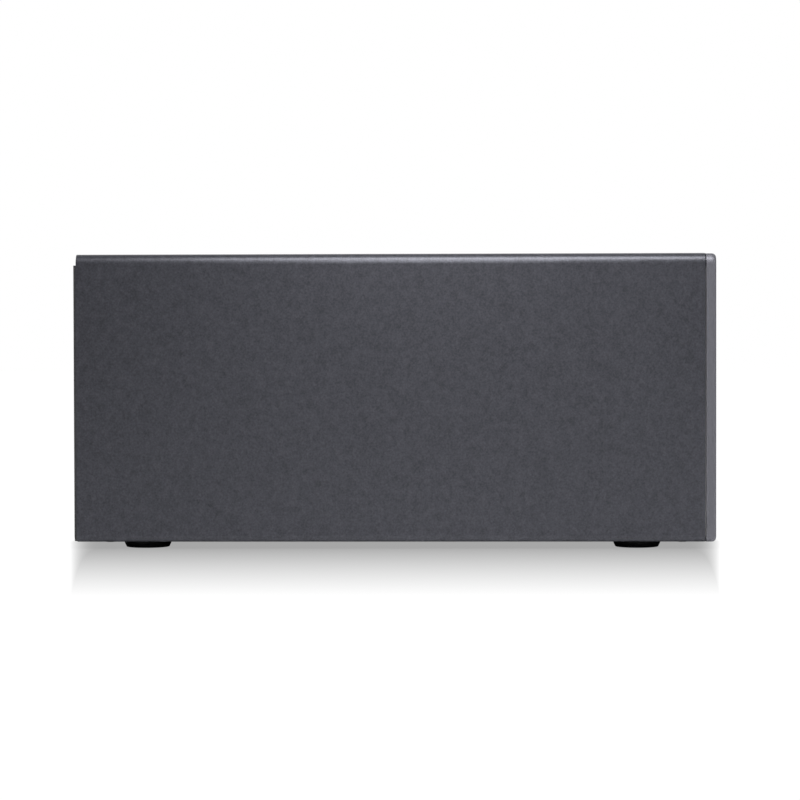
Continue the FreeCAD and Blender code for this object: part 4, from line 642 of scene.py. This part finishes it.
def flat_bar(place, length, upright):
    """A hexagonal bar in the XZ plane."""
    begin()
    bpy.ops.mesh.primitive_cylinder_add(vertices=6, radius=bar_width * 0.577, depth=bar_depth,
                                        location=(0, 0, 0), rotation=(radians(90), 0, 0))
    bar = settle(bpy.context.object)
    edit(bar)
    mesh = bmesh.from_edit_mesh(bar.data)
    side = 2 if upright else 0
    for vertex in mesh.verts:
        if abs(vertex.co[side]) > 1e-7:
            vertex.co[side] += (length - bar_width) / 2 * (1 if vertex.co[side] > 0 else -1)
    bmesh.update_edit_mesh(bar.data)
    pick(bar, lambda centre, normal: normal.y < -0.9)
    bpy.ops.mesh.inset(thickness=bar_width * 0.12)
    begin()
    bar.location = place
    return settle(bar)


bars = []
middle = (lens_low + lens_high) / 2
face_y = lens_low.y - bar_depth / 2
half_digit = digit_height / 2
for height in (-half_digit, 0.0, half_digit):
    place = (middle.x + height * lean, face_y, middle.z + height)
    bars.append(flat_bar(place, digit_width * 0.82, upright=False))
for side in (-0.5, 0.5):
    for height in (-half_digit / 2, half_digit / 2):
        place = (middle.x + side * digit_width + height * lean, face_y, middle.z + height)
        bars.append(flat_bar(place, half_digit * 0.84, upright=True))
begin()
bpy.ops.mesh.primitive_cylinder_add(vertices=20, radius=bar_width * 0.55, depth=bar_depth,
                                    location=(middle.x + digit_width * 0.86, face_y, middle.z - half_digit),
                                    rotation=(radians(90), 0, 0))
point = bpy.context.object
edit(point)
pick(point, lambda centre, normal: normal.z > 0.9 or normal.z < -0.9)
bpy.ops.mesh.inset(thickness=bar_width * 0.12)
bars.append(settle(point))
digit = joined("display_bars", bars)
dress(digit, moulded("bar_ink", (0.060, 0.055, 0.055), 0.35, grain=4000.0, depth=0.000004))
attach(digit, "enclosure")
print("display bars", len(digit.data.polygons), "faces, digit", round(digit_height / MM, 1), "mm high")

# %% [markdown]
# ## The eject mark
# A triangle over a bar is the plain sign for eject on any machine. It is printed on the button, so
# it is a film only a few hundredths of a millimetre thick, and it moves with the button.

# %% Eject mark on the button
button_low, button_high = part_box("eject_button")
key_height = min(button_high.z - button_low.z, 5.0 * MM)
button_mid = (button_low + button_high) / 2
film = 0.05 * MM
begin()
bpy.ops.mesh.primitive_cylinder_add(vertices=3, radius=key_height * 0.20, depth=film,
                                    location=(button_mid.x, button_low.y, button_mid.z + key_height * 0.05),
                                    rotation=(radians(90), 0, 0))
arrow = bpy.context.object
settle(arrow)
edit(arrow)
mesh = bmesh.from_edit_mesh(arrow.data)
top = max(vertex.co.z for vertex in mesh.verts)
print("arrow points", "up" if sum(v.co.z > top - 1e-6 for v in mesh.verts) == 2 else "sideways")
pick(arrow, lambda centre, normal: normal.y < -0.9)
bpy.ops.mesh.inset(thickness=key_height * 0.02)
begin()
bpy.ops.mesh.primitive_cube_add(size=1.0, location=(button_mid.x, button_low.y,
                                                    button_mid.z - key_height * 0.17))
dash = bpy.context.object
dash.scale = (key_height * 0.35, film, key_height * 0.06)
settle(dash)
edit(dash)
pick(dash, lambda centre, normal: normal.y < -0.9)
bpy.ops.mesh.inset(thickness=key_height * 0.01)
mark = joined("eject_mark", [arrow, dash])
print_white = moulded("print_white", (0.46, 0.46, 0.45), 0.45, grain=3000.0, depth=0.000004)
dress(mark, print_white)
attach(mark, "eject_button")
print("eject mark", [round(c / MM, 1) for c in mark.dimensions], "mm")

# %% [markdown]
# ## Marks on the mains rocker
# A mains rocker carries a stroke on the half that is pressed for on and a ring on the half for off.
# They are moulded a little proud. The rocker's face is two shallow slopes, so each mark is turned to
# lie flat on its own slope, and both move with the rocker.

# %% A stroke and a ring
rocker_low, rocker_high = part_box("power_rocker")
rocker_mid = (rocker_low + rocker_high) / 2
half_span = (rocker_high.x - rocker_low.x) / 2


def rocker_slope(side):
    """A point on the middle of one slope of the face and the slope's outward normal."""
    lift = {}
    for vertex in nodes["power_rocker"].data.vertices:
        place = vertex.co
        across = round((place.x - rocker_mid.x) * side / half_span, 2)
        if across > -0.05:
            lift[across] = max(lift.get(across, -1.0), place.y)
    inner = lift[min(lift, key=lambda a: abs(a))]
    outer_at = max(lift)
    outer = lift[outer_at]
    slope = Vector((side * outer_at * half_span, outer - inner, 0.0))
    normal = Vector((-slope.y * side, abs(slope.x), 0.0)).normalized()
    centre = Vector((rocker_mid.x, inner, rocker_mid.z)) + slope * 0.52
    return centre, normal


marks = []
relief = 0.12 * MM
for side, shape in ((-1, "stroke"), (1, "ring")):
    centre, normal = rocker_slope(side)
    begin()
    if shape == "stroke":
        bpy.ops.mesh.primitive_cube_add(size=1.0, location=(0, 0, 0))
        mark = bpy.context.object
        mark.scale = (0.55 * MM, relief * 2, 3.4 * MM)
        settle(mark)
        edit(mark)
        pick(mark, lambda middle, out: out.y > 0.9)
        bpy.ops.mesh.bevel(offset=relief * 0.6, segments=2, affect="EDGES")
    else:
        bpy.ops.mesh.primitive_torus_add(major_radius=1.35 * MM, minor_radius=0.28 * MM, major_segments=32,
                                         minor_segments=8, rotation=(radians(90), 0, 0))
        mark = bpy.context.object
        settle(mark)
        edit(mark)
        bpy.ops.mesh.select_all(action="SELECT")
        bpy.ops.transform.resize(value=(1.0, relief / (0.28 * MM), 1.0))
    begin()
    mark.rotation_mode = "QUATERNION"
    mark.rotation_quaternion = Vector((0, 1, 0)).rotation_difference(normal)
    mark.location = centre
    marks.append(settle(mark))
rocker_marks = joined("rocker_marks", marks)
dress(rocker_marks, print_white)
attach(rocker_marks, "power_rocker")
print("rocker marks reach y =", round(max(v.co.y for v in rocker_marks.data.vertices) / MM, 2), "mm")

# %% [markdown]
# ## Contacts in the data ports
# Each port has a thin tongue with a row of gold contacts on both faces. One contact is a plate with
# its front edge rounded off; it is copied along the tongue.

# %% Gold contacts
port_places = solids_of("data_ports")
contact_gold = brushed_sheet("contact_gold", 0.62, (2000.0, 400.0, 2000.0), 0.24, warm=0.22)
contact_width = 0.26 * MM
contact_pitch = 0.50 * MM
contact_length = 3.0 * MM
begin()
bpy.ops.mesh.primitive_cube_add(size=1.0, location=(0, 0, 0))
contact = bpy.context.object
contact.scale = (contact_width, contact_length, 0.05 * MM)
settle(contact)
edit(contact)
pick(contact, lambda middle, out: out.y > 0.9)
bpy.ops.transform.resize(value=(1.0, 1.0, 0.4))
begin()
print(len(port_places), "port solids", [[round(c / MM, 1) for c in low] for low, high in port_places])
tongue_thick = 0.7 * MM
contacts = []
for low, high in port_places:
    middle = (low + high) / 2
    for face in (-1, 1):
        for k in range(-5, 6):
            place = Vector((middle.x + k * contact_pitch, high.y - 0.75 * MM - contact_length / 2,
                            middle.z + face * (tongue_thick / 2 + 0.015 * MM)))
            contacts.append(copy_to(contact, place))
bpy.data.objects.remove(contact)
contact_rows = joined("port_contacts", contacts)
dress(contact_rows, contact_gold)
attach(contact_rows, "enclosure")
print("contacts", len(contacts))

# %% [markdown]
# ## Lamps with domed ends
# The status lamps are light pipes, clear rods that carry the light from the board to the bezel. A
# real pipe ends in a shallow dome, which gives each lamp its bright dot. The rod is a cylinder whose
# front rim is bevelled in several steps until it is round.

# %% Domed light pipes
pipes = []
for low, high in solids_of("status_lamps"):
    radius = (high.x - low.x) / 2
    begin()
    bpy.ops.mesh.primitive_cylinder_add(vertices=32, radius=radius, depth=high.y - low.y,
                                        location=(low + high) / 2, rotation=(radians(90), 0, 0))
    pipe = settle(bpy.context.object)
    edit(pipe)
    pick(pipe, lambda middle, out: out.y < -0.9)
    bpy.ops.mesh.bevel(offset=radius * 0.55, segments=5, affect="EDGES")
    begin()
    pipes.append(settle(pipe, 60.0))
lamp_pipes = joined("lamp_pipes", pipes)
dress(lamp_pipes, lamp_lens)
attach(lamp_pipes, "enclosure")
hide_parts("status_lamps")
print("light pipes", len(pipes))

# %% [markdown]
# ## Feet
# A moulded rubber foot isn't a plain cone. It has a rounded lower rim, a faint parting ring where
# the two halves of its mould met, and a recess for the screw. The profile is drawn once, as a thin
# strip of edges, and spun about the foot's axis, because every ring of it is round.

# %% One foot, spun from its profile
foot_places = solids_of("rubber_feet")
foot_low, foot_high = foot_places[0]
foot_top = foot_high.z - foot_low.z
top_radius = (foot_high.x - foot_low.x) / 2
bottom_radius = top_radius - 1.2 * MM
recess_radius = 3.4 * MM
recess_depth = 1.5 * MM
hole_radius = 1.7 * MM
rim = 0.6 * MM
ring_reach = 0.12 * MM
profile = [(hole_radius, foot_top), (top_radius - ring_reach, foot_top), (top_radius, foot_top - ring_reach)]
slope = (bottom_radius - top_radius) / foot_top
ring_z = foot_top * 0.55
ring_r = top_radius + slope * (foot_top - ring_z)
profile += [(ring_r, ring_z + ring_reach), (ring_r - 0.10 * MM, ring_z),
            (ring_r - 0.02 * MM, ring_z - ring_reach)]
for step in range(6):
    turn = radians(step * 18.0)
    profile.append((bottom_radius - rim + rim * cos(turn), rim - rim * sin(turn)))
profile += [(recess_radius + 0.3 * MM, 0.0), (recess_radius, 0.3 * MM), (recess_radius, recess_depth),
            (hole_radius, recess_depth), (hole_radius, foot_top)]
begin()
strip = bpy.data.meshes.new("foot_profile")
strip.from_pydata([(r, 0.0, z) for r, z in profile], [(k, k + 1) for k in range(len(profile) - 1)], [])
foot = bpy.data.objects.new("foot_pattern", strip)
bpy.context.collection.objects.link(foot)
edit(foot)
bpy.ops.mesh.select_mode(type="EDGE")
bpy.ops.mesh.select_all(action="SELECT")
bpy.ops.mesh.spin(steps=64, angle=radians(360), center=(0, 0, 0), axis=(0, 0, 1))
bpy.ops.mesh.select_all(action="SELECT")
bpy.ops.mesh.remove_doubles(threshold=0.000001)
bpy.ops.mesh.normals_make_consistent(inside=False)
settle(foot, 30.0)
feet = [copy_to(foot, Vector(((low.x + high.x) / 2, (low.y + high.y) / 2, low.z)))
        for low, high in foot_places]
bpy.data.objects.remove(foot)
rubber_feet = joined("moulded_feet", feet)
dress(rubber_feet, foot_rubber)
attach(rubber_feet, "enclosure")
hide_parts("rubber_feet")
print("feet", len(feet), "with", len(rubber_feet.data.polygons), "faces")

# %% [markdown]
# ## Leads of the chips
# The construction model has each chip as a plain block on its board. A chip that can be soldered has
# rows of bent leads: out of the body at half height, down, and out again flat on the board. One lead
# is extruded from a small block, then copied along the sides of every chip. The chips are found in
# the board's mesh: each level face above the board and too low for a connector is the top of one.

# %% Where the chips are
def level_faces(name, low_z, high_z):
    """The low and high corner of each separate face that looks up between two heights."""
    shape = bmesh.new()
    shape.from_mesh(nodes[name].data)
    bmesh.ops.remove_doubles(shape, verts=shape.verts, dist=0.002 * MM)
    shape.normal_update()
    left = {f for f in shape.faces if f.normal.z > 0.99 and low_z < f.calc_center_median().z < high_z}
    areas = []
    while left:
        front = [left.pop()]
        group = list(front)
        while front:
            for link in front.pop().edges:
                for face in link.link_faces:
                    if face in left:
                        left.discard(face)
                        front.append(face)
                        group.append(face)
        corners = [v.co for f in group for v in f.verts]
        low = Vector([min(c[i] for c in corners) for i in range(3)])
        high = Vector([max(c[i] for c in corners) for i in range(3)])
        areas.append((low, high))
    shape.free()
    return sorted(areas, key=lambda pair: [round(c, 4) for c in pair[0]])


# %% One lead, and a row of them on each long side
lead_width = 0.40 * MM
lead_metal = 0.15 * MM
lead_shoulder = 0.30 * MM
lead_foot = 0.50 * MM
lead_pitch = 1.00 * MM
chip_least = 5.0 * MM
chip_lowest = 0.6 * MM
chip_highest = 2.6 * MM


def pull(piece, wanted, move):
    """Extrude the faces that are wanted by one move."""
    pick(piece, wanted)
    bpy.ops.mesh.extrude_region_move(TRANSFORM_OT_translate={"value": move})


def make_lead(height):
    """A bent lead that leaves the body along X at a height and ends flat at z = 0."""
    begin()
    bpy.ops.mesh.primitive_cube_add(size=1.0, location=(lead_shoulder / 2, 0, height),
                                    scale=(lead_shoulder, lead_width, lead_metal))
    lead = settle(bpy.context.object)
    edit(lead)
    pull(lead, lambda centre, normal: normal.x > 0.9, (lead_metal, 0, 0))
    pull(lead, lambda centre, normal: normal.z < -0.9 and centre.x > lead_shoulder,
         (0, 0, lead_metal * 1.5 - height))
    pull(lead, lambda centre, normal: normal.z < -0.9 and centre.x > lead_shoulder, (0, 0, -lead_metal))
    pull(lead, lambda centre, normal: normal.x > 0.9 and centre.z < lead_metal, (lead_foot, 0, 0))
    bpy.ops.mesh.select_all(action="SELECT")
    bpy.ops.mesh.normals_make_consistent(inside=False)
    lead = settle(lead)
    apply_modifier(lead, "BEVEL", width=lead_metal * 0.3, segments=1, limit_method="ANGLE")
    return lead


def lead_rows(name, board_top):
    """Leads round every chip of a board, as one piece."""
    made = []
    chips = 0
    for low, high in level_faces(name, board_top + chip_lowest, board_top + chip_highest):
        size = high - low
        if min(size.x, size.y) < chip_least:
            continue
        chips += 1
        master = make_lead((low.z - board_top) / 2)
        middle = (low + high) / 2
        for step in range(4):
            turn = Quaternion((0, 0, 1), radians(90 * step))
            along, out = (size.y, size.x) if step % 2 == 0 else (size.x, size.y)
            count = int((along - 2 * lead_pitch) / lead_pitch) + 1
            for k in range(count):
                offset = Vector((out / 2, (k - (count - 1) / 2) * lead_pitch, 0.0))
                place = Vector((middle.x, middle.y, board_top)) + turn @ offset
                made.append(copy_to(master, place, turn))
        bpy.data.objects.remove(master)
    rows = joined(f"{name}_leads", made)
    dress(rows, port_steel)
    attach(rows, "enclosure")
    print(rows.name, chips, "chips", len(made), "leads")
    return rows


for name in ("drive_board", "bridge_board"):
    lead_rows(name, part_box(name)[0].z + board_thickness)

# %% [markdown]
# ## Floor, light and camera
# The unit stands on a pale sweep. What the camera sees of it is almost all emission, graded by
# place: a set grey beside the unit, rising to white further out. So the shade there is drawn, not
# cast, and the lamps' own shadow adds little to it. Its ends run towards the place of the camera.
# Other rays meet plain pale paint. Metal sees a small share of the white floor, and the white of the
# world only behind the unit; to all else the world is dim, so that dark paint stays dark.

# %% The floor
floor_size = 12.0
shadow_reach = 0.27
shadow_level = 0.385
far_side_share = 0.3
end_margin = 0.002
end_fade = 0.017
reach_under = 0.05
# the camera's Y, and its distance from the long side
eye_y = -0.041
eye_reach = 1.414
mirror_share = 0.12
paint_seen = 0.06
paint_lit = 0.90
bpy.ops.object.select_all(action="DESELECT")
bpy.ops.mesh.primitive_plane_add(size=floor_size, location=(0, 0, cad_box[0][2]))
floor = bpy.context.object
floor.name = "floor"


def seen_rays(nodes_of):
    """1 for rays from the camera and for those by way of a mirror or glass."""
    path = nodes_of.node("ShaderNodeLightPath")
    camera_ray = Value(nodes_of, path.outputs["Is Camera Ray"])
    mirror_ray = Value(nodes_of, path.outputs["Is Glossy Ray"])
    glass_ray = Value(nodes_of, path.outputs["Is Transmission Ray"])
    return camera_ray, mirror_ray.larger(glass_ray)


white = bpy.data.materials.new("white_sweep")
white.use_nodes = True
sweep = Nodes(white.node_tree)
white.node_tree.nodes.remove(white.node_tree.nodes["Principled BSDF"])
outward = sweep.axis("X") * -1.0 + cad_box[0][0]
near_side = (outward / shadow_reach).clamped()
far_side = ((sweep.axis("X") - cad_box[1][0]) / (shadow_reach * far_side_share)).clamped()
along = eye_y + (sweep.axis("Y") - eye_y) / (1.0 - outward.larger(-reach_under) / eye_reach)
past_end = ((along.size() - (cad_box[1][1] + end_margin - end_fade)) / end_fade).clamped()
eye, mirror = seen_rays(sweep)
far = near_side.larger(far_side).larger(past_end * past_end * past_end)
lift = far * eye.larger(mirror_share * mirror) + shadow_level * (1.0 - far) * eye
shade = sweep.blend_color(eye, gray(paint_lit), gray(paint_seen))
diffuse = sweep.node("ShaderNodeBsdfDiffuse", Color=shade)
glow = sweep.node("ShaderNodeEmission", Color=gray(1.0), Strength=lift)
both = sweep.node("ShaderNodeAddShader")
sweep.feed(both.inputs[0], diffuse.outputs[0])
sweep.feed(both.inputs[1], glow.outputs[0])
from_below = sweep.node("ShaderNodeNewGeometry").outputs["Backfacing"]
open_below = sweep.node("ShaderNodeMixShader", Fac=from_below)
sweep.feed(open_below.inputs[1], both.outputs[0])
sweep.feed(open_below.inputs[2], sweep.node("ShaderNodeBsdfTransparent").outputs[0])
sweep.feed(white.node_tree.nodes["Material Output"].inputs["Surface"], open_below.outputs[0])
dress(floor, white)
print("floor at", round(cad_box[0][2], 5))

# %% The world: white behind the unit, dim to everything else
ambient_level = 0.12
world = bpy.data.worlds.new("studio")
bpy.context.scene.world = world
world.use_nodes = True
sky = Nodes(world.node_tree, "Generated")
ambient = world.node_tree.nodes["Background"]
ambient.inputs["Color"].default_value = gray(1.0)
ambient.inputs["Strength"].default_value = ambient_level
backdrop = sky.node("ShaderNodeBackground", Color=gray(1.0), Strength=1.0)
eye, mirror = seen_rays(sky)
behind = sky.ramp(sky.axis("X"), 0.5, 0.8)
choose = sky.node("ShaderNodeMixShader", Fac=eye.larger(mirror * behind))
sky.feed(choose.inputs[1], ambient.outputs[0])
sky.feed(choose.inputs[2], backdrop.outputs[0])
sky.feed(world.node_tree.nodes["World Output"].inputs["Surface"], choose.outputs[0])


# %% Softboxes
def softbox(name, place, aim, width, height, power, spread=180.0, in_mirrors=True):
    """A rectangular light at a place, turned to a point. A small spread keeps it to a beam."""
    data = bpy.data.lights.new(name, "AREA")
    data.shape = "RECTANGLE"
    data.size = width
    data.size_y = height
    data.energy = power
    data.spread = radians(spread)
    lamp = bpy.data.objects.new(name, data)
    bpy.context.collection.objects.link(lamp)
    lamp.location = place
    lamp.rotation_mode = "QUATERNION"
    lamp.rotation_quaternion = (Vector(aim) - Vector(place)).to_track_quat("-Z", "Y")
    lamp.visible_glossy = in_mirrors
    lamp.visible_camera = False
    return lamp


softbox("key_strip", (-0.325, -0.075, 0.575), (-0.086, -0.075, 0.147), 0.40, 0.22, 2.9)
softbox("side_fill", (-0.38, -0.02, 0.33), (-0.086, -0.02, 0.147), 0.16, 0.16, 0.06, spread=60.0)
softbox("back_light", (0.75, 0.0, 0.95), (-0.15, 0.0, 0.0), 1.2, 0.8, 6.0, in_mirrors=False)
softbox("front_fill", (-0.55, -1.30, 0.60), (0.0, -0.1, 0.07), 0.5, 0.5, 3.0)

# %% The camera, square to the long side and a little above it
azimuth = radians(271.575)
elevation = radians(1.30)
roll = radians(-0.131)
distance = 1.5
aim = Vector((0.0, 0.0, (cover_low.z + cover_high.z) / 2))
back = Vector((sin(azimuth) * cos(elevation), -cos(azimuth) * cos(elevation), sin(elevation)))
camera_data = bpy.data.cameras.new("camera")
camera_data.lens = 128.0
camera_data.sensor_width = 36.0
camera_data.shift_x = 0.0017
camera_data.shift_y = -0.0074
camera = bpy.data.objects.new("camera", camera_data)
bpy.context.collection.objects.link(camera)
camera.location = aim + back * distance
camera.rotation_mode = "QUATERNION"
level = (-back).to_track_quat("-Z", "Y").to_matrix()
camera.rotation_quaternion = (level @ Matrix.Rotation(roll, 3, "Z")).to_quaternion()
scene = bpy.context.scene
scene.camera = camera
scene.view_settings.view_transform = "Standard"
scene.view_settings.look = "None"
print("camera at", [round(c, 3) for c in camera.location])
